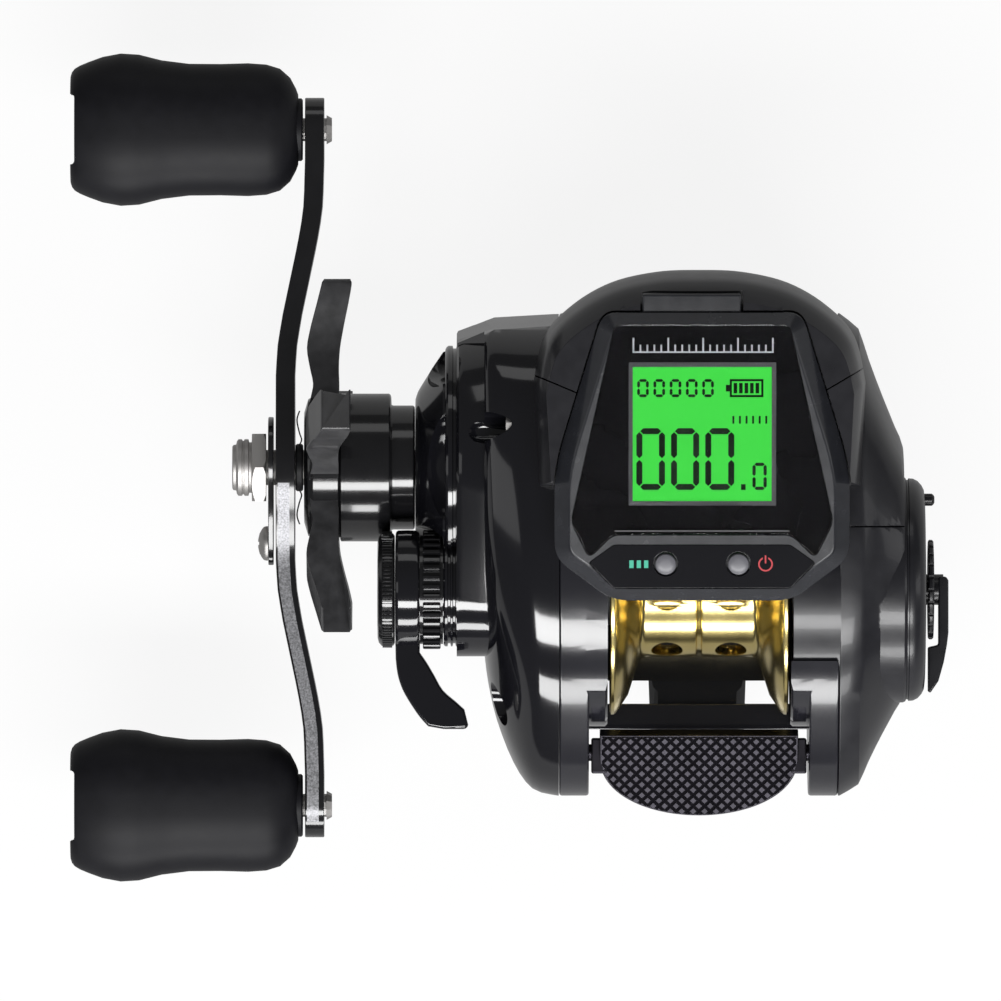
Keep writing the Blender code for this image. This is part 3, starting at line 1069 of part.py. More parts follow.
def spool(axis):
    """The spool: a drilled arbor between cupped flanges, on a webbed hub."""
    wall, edge = SPOOL_WALL, SPOOL_FLANGE_EDGE
    arbor, half, flange = SPOOL_ARBOR_RADIUS, SPOOL_ARBOR_HALF_WIDTH, SPOOL_FLANGE_RADIUS
    width, hub = SPOOL_HALF_WIDTH, SPOOL_HUB_RADIUS
    bore = SPOOL_SHAFT_RADIUS + GAP
    seam = GAP * 1.5
    outside = [(0, arbor - seam), (seam, arbor), (half - wall * 0.5, arbor), (half + wall * 0.4,
                                                            arbor + wall),
               (width - edge * 1.9, flange * 0.84), (width - edge, flange)]
    inside = [(width, flange - edge * 0.3), (width - edge * 0.8, flange * 0.83), (half + wall,
                                                            arbor - wall), (wall * 0.8, arbor - wall),
                                                            (wall * 0.6, hub), (SPOOL_HUB_HALF_LENGTH, hub),
              (SPOOL_HUB_HALF_LENGTH, bore)]
    right = outside + inside
    profile = right + [(-x, radius) for x, radius in right[::-1] if x > 0]
    piece = turned("spool", profile, ROUND_SIDES, axis)
    for row in (-1, 1):
        for i in range(SPOOL_HOLE_COUNT):
            turn = Matrix.Rotation(2 * math.pi * i / SPOOL_HOLE_COUNT + math.radians(82), 4, "X")
            rim = circle(SPOOL_HOLE_RADIUS, 8, row * SPOOL_HOLE_OFFSET)
            low, high = arbor - 2 * wall, arbor + wall
            sections = [[turn @ Vector((x, level, z)) for x, z in rim] for level in (low, high)]
            cut(piece, loft("hole", sections, axis))
    finish(piece, GOLD, 0.22, 1.0)
    shaft = disc("spool_shaft", SHAFT_TENSION_END, SHAFT_PALM_END, SPOOL_SHAFT_RADIUS, SMALL_SIDES, axis)
    finish(shaft, STEEL, 0.2, 1.0)
    near = -SPOOL_HUB_HALF_LENGTH - GAP
    magnet = ring("counter_magnet", near - MAGNET_WIDTH, near, MAGNET_RADIUS, bore, MIDDLE_SIDES, axis)
    finish(magnet, (0.2, 0.2, 0.21), 0.4, 1.0)


SPOOL_HUB_HALF_LENGTH = 9.0 * MM
SHAFT_TENSION_END = TENSION_BOSS_END + 2.0 * MM
PINION_TEETH_SPARE = 0.5 * MM
YOKE_TRAVEL = 1.2 * MM
GROOVE_INSET = 1.4 * MM
GROOVE_WIDTH = 1.4 * MM
GROOVE_RADIUS = 2.0 * MM
YOKE_THICKNESS = 0.8 * MM
YOKE_RADIUS = 5.2 * MM
PINION_TAIL_END = -PLATE_INNER - 2 * GAP


def pinion(axis, yoke_axis):
    """The pinion with its grooved tail, and the yoke that draws it off the spool shaft."""
    toothed_near = MAIN_NEAR + YOKE_TRAVEL + GAP
    toothed_far = MAIN_FAR - PINION_TEETH_SPARE
    heading = math.atan2(CRANK_DROP, -CRANK_Y) + math.pi
    half_step = 2 * math.pi / PINION_TEETH * MESH_TURN_SHARE
    outline = gear_outline(PINION_TEETH, GEAR_MODULE, heading + half_step)
    piece = loft("pinion", [at_x(outline, toothed_far), at_x(outline, toothed_near)], axis)
    groove_far = toothed_near + GROOVE_INSET
    groove_near = groove_far + GROOVE_WIDTH
    tail = turned("tail", [
        (toothed_near - OVERRUN, 0), (toothed_near - OVERRUN, PINION_BORE_RADIUS + GAP),
        (toothed_near + GAP, PINION_TAIL_RADIUS), (groove_far, PINION_TAIL_RADIUS), (groove_far,
                                                            GROOVE_RADIUS),
        (groove_near, GROOVE_RADIUS), (groove_near, PINION_TAIL_RADIUS), (PINION_TAIL_END,
                                                            PINION_TAIL_RADIUS),
        (PINION_TAIL_END, 0)], MIDDLE_SIDES, axis)
    join(piece, tail)
    cut(piece, disc("bore", toothed_far - OVERRUN, PINION_TAIL_END + OVERRUN, PINION_BORE_RADIUS,
                    SMALL_SIDES, axis))
    finish(piece, BRASS, 0.3, 1.0)

    middle = groove_far + GROOVE_WIDTH / 2
    low, high = middle - YOKE_THICKNESS / 2, middle + YOKE_THICKNESS / 2
    yoke = disc("clutch_yoke", low, high, YOKE_RADIUS, MIDDLE_SIDES, yoke_axis)
    throat = GROOVE_RADIUS + GAP
    slot = [(-throat, -throat), (throat, -throat), (throat, YOKE_RADIUS + OVERRUN), (-throat,
                                                            YOKE_RADIUS + OVERRUN)]
    cut(yoke, disc("bore", low - OVERRUN, high + OVERRUN, throat, MIDDLE_SIDES, yoke_axis))
    cut(yoke, loft("slot", [at_x([(y, max(z, 0)) for y, z in slot], low - OVERRUN),
                            at_x([(y, max(z, 0)) for y, z in slot], high + OVERRUN)], yoke_axis))
    finish(yoke, STEEL, 0.35, 1.0)


# Worm with its crossed thread, and the guide that it drives
WORM_LENGTH = 27.2 * MM
WORM_PITCH = 5.4 * MM
WORM_THREAD_HALF_LENGTH = 9.5 * MM
WORM_GROOVE_DEPTH = 0.75 * MM
WORM_GROOVE_HALF_WIDTH = 0.75 * MM
WORM_RINGS = 27
WORM_SIDES = 12
GUIDE_HALF_WIDTH = 3.6 * MM
GUIDE_TRAVEL = 7.0 * MM
GUIDE_BODY_HALF = 4.0 * MM
GUIDE_NECK_FRONT = 5.4 * MM
GUIDE_NECK_REAR = 1.2 * MM
EYE_HALF_WIDTH = 2.5 * MM
EYE_HALF_HEIGHT = 2.6 * MM
EYE_WALL = 1.5 * MM
EYE_RISE = 6.9 * MM
EYE_Z = WORM_Z + EYE_RISE


def worm_radius(x, angle):
    """The worm's radius where two grooves of opposite hand wind round it."""
    if abs(x) > WORM_THREAD_HALF_LENGTH:
        return WORM_RADIUS
    depth = 0.0
    for hand in (-1, 1):
        phase = (x / WORM_PITCH - hand * angle / (2 * math.pi)) % 1.0
        distance = min(phase, 1 - phase) * WORM_PITCH
        if distance < WORM_GROOVE_HALF_WIDTH:
            depth = max(depth, WORM_GROOVE_DEPTH * (1 - (distance / WORM_GROOVE_HALF_WIDTH) ** 2))
    return WORM_RADIUS - depth


def worm(axis):
    """The level wind's shaft, and the cog that the drive shaft turns."""
    half = WORM_LENGTH / 2
    journal = WORM_JOURNAL_RADIUS
    sections = []
    for x, radius in ((LEVEL_FAR, journal), (-half, journal), (-half, WORM_RADIUS)):
        sections.append(at_x(circle(radius, WORM_SIDES), x))
    for i in range(1, WORM_RINGS):
        x = -half + WORM_LENGTH * i / WORM_RINGS
        angles = [2 * math.pi * k / WORM_SIDES for k in range(WORM_SIDES)]
        sections.append([(x, worm_radius(x, a) * math.cos(a), worm_radius(x,
                                                            a) * math.sin(a)) for a in angles])
    journal_end = COVER_FACE + WORM_END_ROOM - GAP
    for x, radius in ((half, WORM_RADIUS), (half, journal), (journal_end, journal)):
        sections.append(at_x(circle(radius, WORM_SIDES), x))
    finish(loft("worm_shaft", sections, axis), STEEL, 0.25, 1.0)
    heading = math.atan2(WORM_Z - CRANK_Z, WORM_Y - CRANK_Y) + math.pi
    half_step = 2 * math.pi / COG_TEETH * MESH_TURN_SHARE
    cog = gear("worm_cog", COG_TEETH, LEVEL_MODULE, LEVEL_FAR, LEVEL_NEAR, journal + GAP,
               heading + half_step, axis)
    finish(cog, (0.8, 0.8, 0.78), 0.45)


def line_guide(axis):
    """The carriage that lays the line: a sleeve on the worm, an eye and a bore on the rail."""
    width, body = GUIDE_HALF_WIDTH, GUIDE_BODY_HALF
    outline = rounded(rectangle(-body, body, -body, body), body * 0.5)
    guide = loft("line_guide", [at_x(outline, -width), at_x(outline, width)], axis)
    eye_z, rail_z, rail_y = EYE_Z - WORM_Z, RAIL_Z - WORM_Z, RAIL_Y - WORM_Y
    top = rail_z + RAIL_RADIUS + GAP + EYE_WALL
    eye_width = EYE_HALF_WIDTH + EYE_WALL
    neck = rounded(rectangle(-eye_width, eye_width, 0, top), EYE_WALL)
    join(guide, loft("neck", [at_y(neck, GUIDE_NECK_REAR), at_y(neck, GUIDE_NECK_FRONT)], axis))
    low, high = GUIDE_NECK_REAR - OVERRUN * 4, GUIDE_NECK_FRONT + OVERRUN
    eye = rounded(rectangle(-EYE_HALF_WIDTH, EYE_HALF_WIDTH, eye_z - EYE_HALF_HEIGHT,
                            eye_z + EYE_HALF_HEIGHT),
                  EYE_HALF_WIDTH * 0.6)
    cut(guide, loft("eye", [at_y(eye, low), at_y(eye, high)], axis))
    far = eye_width + OVERRUN
    cut(guide, disc("bore", -far, far, WORM_RADIUS + RUNNING_GAP, MIDDLE_SIDES, axis))
    rail = circle(RAIL_RADIUS + RUNNING_GAP, SMALL_SIDES, rail_y, rail_z)
    cut(guide, loft("bore", [at_x(rail, -far), at_x(rail, far)], axis))
    return finish(guide, STEEL, 0.3, 1.0)


def thumb_bar(axis):
    """The knurled bar that frees the spool, with the posts and pegs that slide in the frame."""
    rear = (THUMB_REAR - THUMB_FRONT) / math.cos(THUMB_SLOPE)
    half = THUMB_HALF_WIDTH
    steps = 14
    outline = [(half, 0), (-half, 0)]
    for i in range(steps + 1):
        angle = math.pi + math.pi * i / steps
        reach = THUMB_SHOULDER + (rear - THUMB_SHOULDER) * abs(math.sin(angle)) ** 0.9
        outline.append((half * math.cos(angle), -reach))
    low, high = -THUMB_THICKNESS, 0
    bar = loft("thumb_bar", [at_z(outline, low), at_z(outline, high)], axis)
    bpy.context.view_layer.update()
    bar.data.transform(Matrix.Rotation(THUMB_SLOPE, 4, "X"))
    soften(bar, GAP, 0.9)
    post_rear = THUMB_FRONT - THUMB_POST_REAR
    for side in (-1, 1):
        inner, outer = side * (half - THUMB_POST_WIDTH), side * (PLATE_INNER - GAP)
        near, far = sorted((inner, outer))
        post_low = -THUMB_PEG_DROP - THUMB_PEG_RADIUS - GAP
        join(bar, block("post", (near, post_rear, post_low), (far, -GAP, -THUMB_THICKNESS / 2), axis))
        near, far = sorted((inner, side * THUMB_PEG_REACH))
        peg = circle(THUMB_PEG_RADIUS, 12, THUMB_FRONT - THUMB_PEG_Y, -THUMB_PEG_DROP)
        join(bar, loft("peg", [at_x(peg, near), at_x(peg, far)], axis))
    return finish(bar, (0.04, 0.04, 0.05), 0.35)


# Spool tension group on the gear side, outwards along the spool axis
CLICK_RING_NEAR = HOUSING_OUTER - THREAD_RINGS_WIDTH - GAP
CLICK_RING_WIDTH = 2.5 * MM
CLICK_TEETH = 18
CLICK_RADIUS = 7.7 * MM
CLICK_TOOTH_DEPTH = 0.7 * MM
TENSION_BORE_RADIUS = TENSION_BOSS_RADIUS + RUNNING_GAP
LEVER_RING_WIDTH = 3.2 * MM
LEVER_RING_RADIUS = 7.7 * MM
LEVER_REACH = 18.3 * MM
LEVER_HALF_WIDTH = 2.6 * MM
TENSION_KNOB_WIDTH = 1.7 * MM
TENSION_KNOB_RADIUS = 7.7 * MM
TENSION_KNOB_FLUTES = 20
TENSION_FLUTE_DEPTH = 0.3 * MM
TENSION_SPIGOT_LENGTH = 1.6 * MM

# Lever arm seen from above: how far out it lies, and its thickness, from the ring to the tip
LEVER_SHARES = (
    (0.30, 0.0, 1.0), (0.44, 0.02, 0.98), (0.56, 0.07, 1.0), (0.68, 0.24, 1.0), (0.80, 0.48, 1.12),
    (0.90, 0.78, 1.35), (1.0, 1.18, 1.55),
)
LEVER_LEAN = 5.2 * MM


def tension_pieces(knob_axis, lever_axis):
    """The knurled cap, the lever ring and the toothed ring round the threaded boss."""
    click_far = CLICK_RING_NEAR - CLICK_RING_WIDTH
    teeth = []
    for i in range(CLICK_TEETH):
        step = 2 * math.pi / CLICK_TEETH
        for share, depth in ((0.0, CLICK_TOOTH_DEPTH), (0.42, CLICK_TOOTH_DEPTH), (0.5, 0), (0.92, 0)):
            angle = step * (i + share)
            radius = CLICK_RADIUS - depth
            teeth.append((radius * math.cos(angle), radius * math.sin(angle)))
    click = loft("click_ring", [at_x(teeth, click_far), at_x(teeth, CLICK_RING_NEAR)], lever_axis)
    cut(click, disc("bore", click_far - OVERRUN, CLICK_RING_NEAR + OVERRUN, TENSION_BORE_RADIUS,
                    MIDDLE_SIDES, lever_axis))
    finish(click, BLACK_SATIN, 0.35)

    ring_near = click_far - GAP
    ring_far = ring_near - LEVER_RING_WIDTH
    lever = disc("tension_lever", ring_far, ring_near, LEVER_RING_RADIUS, ROUND_SIDES, lever_axis)
    sections = []
    for along, lean, thick in LEVER_SHARES:
        y = -along * LEVER_REACH
        x = ring_far + lean * LEVER_LEAN
        half = LEVER_HALF_WIDTH
        depth = LEVER_RING_WIDTH * 0.86 * thick
        edge = half * 0.22
        sections.append([(x, y, -half + edge), (x + edge, y, -half), (x + depth - edge, y, -half),
                         (x + depth, y, -half + edge), (x + depth, y, half - edge), (x + depth - edge, y,
                                                            half),
                         (x + edge, y, half), (x, y, half - edge)])
    join(lever, loft("arm", sections, lever_axis))
    cut(lever, disc("bore", ring_far - OVERRUN, ring_near + OVERRUN, TENSION_BORE_RADIUS, MIDDLE_SIDES,
                    lever_axis))
    finish(lever, BLACK_GLOSS, 0.2)

    knob_near = ring_far - GAP
    knob_far = knob_near - TENSION_KNOB_WIDTH
    rim = []
    for i in range(TENSION_KNOB_FLUTES * 2):
        angle = math.pi * i / TENSION_KNOB_FLUTES
        radius = TENSION_KNOB_RADIUS - TENSION_FLUTE_DEPTH * (i % 2)
        rim.append((radius * math.cos(angle), radius * math.sin(angle)))
    small = [(y * 0.93, z * 0.93) for y, z in rim]
    knob = loft("tension_knob", [at_x(small, knob_far), at_x(rim, knob_far + GAP * 1.5), at_x(rim,
                                                            knob_near)], knob_axis)
    spigot_end = TENSION_BOSS_END + TENSION_SPIGOT_LENGTH
    join(knob, disc("spigot", knob_near - GAP, spigot_end, SMALL_BEARING_RADIUS, MIDDLE_SIDES, knob_axis))
    dish = turned("dish", [(knob_far - OVERRUN, 0), (knob_far - OVERRUN, TENSION_KNOB_RADIUS * 0.7),
                           (knob_far + GAP, TENSION_KNOB_RADIUS * 0.6), (knob_far + GAP, 0)],
                           MIDDLE_SIDES, knob_axis)
    cut(knob, dish)
    finish(knob, BLACK_SATIN, 0.35)


# Display, in its own tilted frame: U across, V up the slope, W out of the glass
DISPLAY_TILT = math.radians(8)
DISPLAY_X = 0.25 * MM
DISPLAY_REAR_Y = -0.9 * MM
DISPLAY_UNDERSIDE = BODY_TOP + 2 * GAP
DISPLAY_THICKNESS = 5.2 * MM
HOUSING_REAR_HALF = 11.6 * MM
HOUSING_WAIST_HALF = 19.1 * MM
HOUSING_MIDDLE_HALF = 18.3 * MM
HOUSING_TOP_HALF = 12.9 * MM
HOUSING_DEEP = 37.6 * MM
HOUSING_WAIST_LOW = 5.6 * MM
HOUSING_WAIST_HIGH = 16.0 * MM
HOUSING_SHOULDER = 20.0 * MM
HOUSING_UNDERCUT = 0.9 * MM
BEZEL_WIDTH = 2.0 * MM
BEZEL_DROP = 1.9 * MM
TAB_HALF_WIDTH = 6.4 * MM
TAB_DEPTH = 2.3 * MM
TAB_OFFSET = -1.35 * MM
TAB_TOP_DROP = 2.4 * MM
LENS_TOP_HALF = 11.3 * MM
LENS_WAIST_HALF = 16.9 * MM
LENS_LOW_HALF = 14.6 * MM
LENS_STEP_HALF = 11.6 * MM
LENS_TOP = 36.1 * MM
LENS_WAIST = 10.6 * MM
LENS_EAR = 5.9 * MM
LENS_STEP = 8.9 * MM
LENS_THICKNESS = 0.9 * MM
LENS_SINK = 0.3 * MM
PANEL_SIDE_HALF = 14.6 * MM
PANEL_HALF = 11.4 * MM
PANEL_TOP = 7.5 * MM
PANEL_MIDDLE = 5.2 * MM
PANEL_LOW = 1.9 * MM
BUTTON_REACH = 4.7 * MM
BUTTON_V = 5.0 * MM
BUTTON_RADIUS = 1.35 * MM
BUTTON_FLANGE_RADIUS = 1.9 * MM
BUTTON_FLANGE_HEIGHT = 0.6 * MM
BUTTON_PROUD = 0.4 * MM
BUTTON_TRAVEL = 0.5 * MM
HOUSING_FLOOR = 0.8 * MM
BOARD_THICKNESS = 0.7 * MM
BOARD_LOW = HOUSING_FLOOR + GAP
BOARD_TOP = BOARD_LOW + BOARD_THICKNESS
LCD_HALF_WIDTH = 9.5 * MM
LCD_LOW = 12.1 * MM
LCD_HIGH = 30.8 * MM
LCD_BOTTOM = BOARD_TOP + GAP
LENS_BOTTOM = DISPLAY_THICKNESS - LENS_SINK - LENS_THICKNESS
WELL_MARGIN = 1.0 * MM
BUTTON_WELL_HALF_WIDTH = 8.0 * MM
BUTTON_WELL_LOW = 2.6 * MM


def mirrored(right):
    """An outline from its right half, bottom to top."""
    return right + [(-u, v) for u, v in right[::-1]]


def housing_plan(inset):
    """The display housing seen along W, drawn in by an inset."""
    right = [(HOUSING_REAR_HALF, 0), (HOUSING_WAIST_HALF, HOUSING_WAIST_LOW), (HOUSING_WAIST_HALF,
                                                            HOUSING_WAIST_HIGH),
             (HOUSING_MIDDLE_HALF, HOUSING_SHOULDER), (HOUSING_TOP_HALF, HOUSING_DEEP)]
    plan = rounded(mirrored(right), BEZEL_WIDTH, 2)
    return grown(plan, -inset) if inset else plan


def lens_plan(out=0.0):
    """The glass: a tall trapezoid with two ears that reach down beside the buttons."""
    right = [(LENS_STEP_HALF, LENS_STEP), (LENS_LOW_HALF, LENS_EAR), (LENS_WAIST_HALF, LENS_WAIST),
             (LENS_TOP_HALF, LENS_TOP)]
    plan = rounded(mirrored(right), BEZEL_WIDTH * 0.5, 2)
    return grown(plan, out) if out else plan


def panel_plan(out=0.0):
    right = [(PANEL_HALF, PANEL_LOW), (PANEL_SIDE_HALF, PANEL_MIDDLE), (PANEL_HALF, PANEL_TOP)]
    plan = rounded(mirrored(right), GAP, 2)
    return grown(plan, out) if out else plan


def display_housing(datum):
    """The bevelled case round the glass, with wells for the screen, the board and the buttons."""
    top = DISPLAY_THICKNESS
    case = loft("display_housing", [
        at_z(housing_plan(HOUSING_UNDERCUT), 0), at_z(housing_plan(0), HOUSING_UNDERCUT),
        at_z(housing_plan(0), top - BEZEL_DROP), at_z(housing_plan(BEZEL_WIDTH), top)], datum)
    tab = rounded(rectangle(TAB_OFFSET - TAB_HALF_WIDTH, TAB_OFFSET + TAB_HALF_WIDTH,
                            HOUSING_DEEP - BEZEL_WIDTH * 2, HOUSING_DEEP + TAB_DEPTH), GAP * 2)
    join(case, loft("tab", [at_z(tab, HOUSING_UNDERCUT), at_z(tab, top - TAB_TOP_DROP)], datum))
    over = top + OVERRUN
    cut(case, loft("well", [at_z(lens_plan(GAP), LENS_BOTTOM - GAP), at_z(lens_plan(GAP), over)], datum))
    cut(case, loft("well", [at_z(panel_plan(GAP), LENS_BOTTOM - GAP), at_z(panel_plan(GAP), over)], datum))
    half = LCD_HALF_WIDTH + WELL_MARGIN
    cut(case, block("well", (-half, LCD_LOW - WELL_MARGIN, HOUSING_FLOOR), (half, LCD_HIGH + WELL_MARGIN,
                                                            over), datum))
    cut(case, block("well", (-BUTTON_WELL_HALF_WIDTH, BUTTON_WELL_LOW, HOUSING_FLOOR),
                    (BUTTON_WELL_HALF_WIDTH, LCD_LOW, LENS_BOTTOM), datum))
    finish(case, GREY_BEVEL, 0.3)


def display_inside(datum):
    """The glass, the button panel, the screen and the board."""
    top = DISPLAY_THICKNESS - LENS_SINK
    lens = loft("display_lens", [at_z(lens_plan(), LENS_BOTTOM), at_z(lens_plan(), top)], datum)
    finish(lens, (0.005, 0.005, 0.006), 0.06)
    panel = loft("button_panel", [at_z(panel_plan(), LENS_BOTTOM), at_z(panel_plan(), top)], datum)
    for side in (-1, 1):
        low, high = LENS_BOTTOM - OVERRUN, top + OVERRUN
        cut(panel, post("hole", low, high, BUTTON_RADIUS + GAP, side * BUTTON_REACH, BUTTON_V,
                        MIDDLE_SIDES, datum))
    finish(panel, BLACK_GLOSS, 0.25)
    screen_top = LENS_BOTTOM - GAP
    screen = block("lcd_panel", (-LCD_HALF_WIDTH, LCD_LOW, LCD_BOTTOM), (LCD_HALF_WIDTH, LCD_HIGH,
                                                            screen_top), datum)
    finish(soften(screen, GAP / 2), (0.1, 0.75, 0.12), 0.4)
    slack = WELL_MARGIN - GAP
    board = [(BUTTON_WELL_HALF_WIDTH - slack, BUTTON_WELL_LOW + GAP), (BUTTON_WELL_HALF_WIDTH - slack,
                                                            LCD_LOW),
             (LCD_HALF_WIDTH + slack, LCD_LOW), (LCD_HALF_WIDTH + slack, LCD_HIGH + slack)]
    outline = mirrored(board)
    finish(loft("circuit_board", [at_z(outline, BOARD_LOW), at_z(outline, BOARD_TOP)], datum), (0.02,
                                                            0.16, 0.05), 0.5)


def button(name, datum, side):
    """A domed round key with the flange that keeps it under the panel."""
    axis = axis_empty(name + "_axis", BUTTON_V, 0, side * BUTTON_REACH)
    axis.parent = datum
    low = BOARD_TOP + BUTTON_TRAVEL + GAP
    flange_top = low + BUTTON_FLANGE_HEIGHT
    top = DISPLAY_THICKNESS - LENS_SINK + BUTTON_PROUD
    sections = []
    for height, radius in ((low, BUTTON_FLANGE_RADIUS), (flange_top, BUTTON_FLANGE_RADIUS), (flange_top,
                                                            BUTTON_RADIUS),
                           (top - GAP, BUTTON_RADIUS), (top, BUTTON_RADIUS * 0.7)):
        sections.append(at_z(circle(radius, MIDDLE_SIDES), height))
    return finish(loft(name, sections, axis), (0.12, 0.12, 0.14), 0.3)


# Hood round and ahead of the display, seen from above: half widths and how far ahead they lie
HOOD_NOSE = 41.5 * MM
HOOD_REAR = 16.5 * MM
HOOD_HALF_WIDTH = 21.6 * MM
HOOD_PLAN_SHARES = (
    (0.97, -0.12), (1.0, 0.42), (0.93, 0.66), (0.76, 0.82), (0.53, 0.935), (0.26, 0.99), (0.0, 1.0),
)
HOOD_BASE_ROOM = 0.9 * MM
HOOD_RISE = 8.7 * MM
HOOD_LOWEST = BASE_HIGH + HOOD_BASE_ROOM
HOOD_TOP = BODY_TOP + HOOD_RISE
HOOD_LEVEL_SHARES = (
    (0.0, 0.80), (0.12, 0.88), (0.30, 0.965), (0.50, 1.0), (0.72, 0.995), (0.84, 0.97), (0.93, 0.93),
    (1.0, 0.84),
)
HOOD_WALL = 2.2 * MM
WINDOW_HALF_WIDTH = 10.8 * MM
WINDOW_RISE = 3.6 * MM
WINDOW_TOP = SPOOL_AXIS_HEIGHT + WINDOW_RISE


def hood_plan(scale):
    """The hood's outline seen from above, drawn in towards the reel's middle."""
    middle = HOOD_REAR
    right = []
    for across, ahead in HOOD_PLAN_SHARES:
        reach = middle + ahead * (HOOD_NOSE - middle)
        right.append((across * HOOD_HALF_WIDTH * (scale + 1) / 2, middle + (reach - middle) * scale))
    loop = right + [(-x, y) for x, y in right[-2::-1]]
    return loop


def display_hood(datum):
    """The shell ahead of the display: it roofs the level wind and frames the line's way out."""
    height = HOOD_TOP - HOOD_LOWEST
    sections = [at_z(hood_plan(scale), HOOD_LOWEST + share * height) for share, scale in HOOD_LEVEL_SHARES]
    hood = loft("display_hood", sections)
    reach = HOOD_HALF_WIDTH + PLATE_OUTER
    for side in (-1, 1):
        near, far = sorted((side * (PLATE_INNER - GAP), side * reach))
        cut(hood, loft("body", [at_x(side_outline(out=GAP), near), at_x(side_outline(out=GAP), far)]))
    roof = TOP_BRACE_TOP + GAP
    half = PLATE_INNER + OVERRUN
    inner = block("room", (-half, 0, 0), (half, HOOD_NOSE - HOOD_WALL * 2, roof))
    cut(hood, inner)
    window = rounded(rectangle(-WINDOW_HALF_WIDTH, WINDOW_HALF_WIDTH, -HOOD_LOWEST, WINDOW_TOP), EYE_WALL * 2)
    cut(hood, loft("window", [at_y(window, 0), at_y(window, HOOD_NOSE + OVERRUN)]))
    front = BODY_FRONT + OVERRUN
    base_room = block("room", (-reach, 0, 0), (reach, front - OVERRUN + GAP, BASE_HIGH + GAP))
    cut(hood, base_room)
    plan = housing_plan(-GAP)
    cut(hood, loft("seat", [at_z(plan, -GAP), at_z(plan, DISPLAY_THICKNESS * 3)], datum))
    tab_half = TAB_HALF_WIDTH + GAP
    tab = rectangle(TAB_OFFSET - tab_half, TAB_OFFSET + tab_half, 0, HOUSING_DEEP + TAB_DEPTH + GAP)
    cut(hood, loft("seat", [at_z(tab, HOUSING_UNDERCUT - GAP), at_z(tab, DISPLAY_THICKNESS * 3)], datum))
    return finish(hood, BLACK_SATIN, 0.3)


# Battery between the side plates, ahead of the brace
BATTERY_HALF_WIDTH = 10.0 * MM
BATTERY_LENGTH = 9.5 * MM
BATTERY_THICKNESS = 4.2 * MM


def battery():
    """The flat cell under the hood's roof."""
    rear = TOP_BRACE_FRONT + GAP
    top = TOP_BRACE_TOP
    cell = block("battery", (-BATTERY_HALF_WIDTH, rear, top - BATTERY_THICKNESS),
                 (BATTERY_HALF_WIDTH, rear + BATTERY_LENGTH, top))
    return finish(soften(cell, GAP * 2, segments=2), (0.45, 0.46, 0.48), 0.35, 0.6)


def build():
    """Model the reel, body by body."""
    for leftover in list(bpy.data.objects):
        bpy.data.objects.remove(leftover)

    main_frame()
    hall_sensor()
    reel_foot()
    foot_screw("foot_screw_front", FOOT_SCREW_REACH)
    foot_screw("foot_screw_rear", -FOOT_SCREW_REACH)
    guide_rod()
    gear_side_cover()
    cover_screws()
    palm_covers()
    bearings()
    battery()

    crank_axis = axis_empty("crank_axis", CRANK_Y, CRANK_Z)
    star_axis = axis_empty("star_axis", CRANK_Y, CRANK_Z)
    crank_train(crank_axis)
    handle(crank_axis)
    star_drag(star_axis)
    for name, side in (("front", 1), ("rear", -1)):
        grip_axis = axis_empty("grip_%s_axis" % name, CRANK_Y + side * GRIP_REACH, CRANK_Z)
        grip(name, grip_axis, crank_axis, side)

    spool(axis_empty("spool_axis", 0, SPOOL_AXIS_HEIGHT))
    pinion(axis_empty("pinion_axis", 0, SPOOL_AXIS_HEIGHT), axis_empty("yoke_axis", 0, SPOOL_AXIS_HEIGHT))
    worm(axis_empty("worm_axis", WORM_Y, WORM_Z))
    line_guide(axis_empty("guide_axis", WORM_Y, WORM_Z))
    thumb_bar(axis_empty("thumb_axis", -THUMB_FRONT, THUMB_FRONT_TOP))
    tension_pieces(axis_empty("knob_axis", 0, SPOOL_AXIS_HEIGHT), axis_empty("lever_axis", 0,
                                                            SPOOL_AXIS_HEIGHT))
    brake_pieces(axis_empty("brake_axis", 0, SPOOL_AXIS_HEIGHT))

    datum = axis_empty("display_datum", DISPLAY_REAR_Y, DISPLAY_UNDERSIDE, DISPLAY_X)
    datum.rotation_euler = (DISPLAY_TILT, 0, 0)
    bpy.context.view_layer.update()
    display_housing(datum)
    display_inside(datum)
    button("set_button", datum, -1)
    button("power_button", datum, 1)
    display_hood(datum)


build()
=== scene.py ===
# %% [markdown]
# # A line-counter baitcasting reel, dressed for a studio picture
# The solids of the reel are already fixed and packed. This lesson loads them, sets up the camera and
# the light, gives every solid its finish, and then models the parts that the eye goes to first: the
# grips, the bowed arm, the star, the covers, the lit display, the golden spool and the knurled bar.
# Everything is in metres, X runs across the reel with the handle at -X, Y up the rod and Z upwards.

# %% Load the reel
import json
import math

import bpy
import bmesh
from mathutils import Matrix, Vector


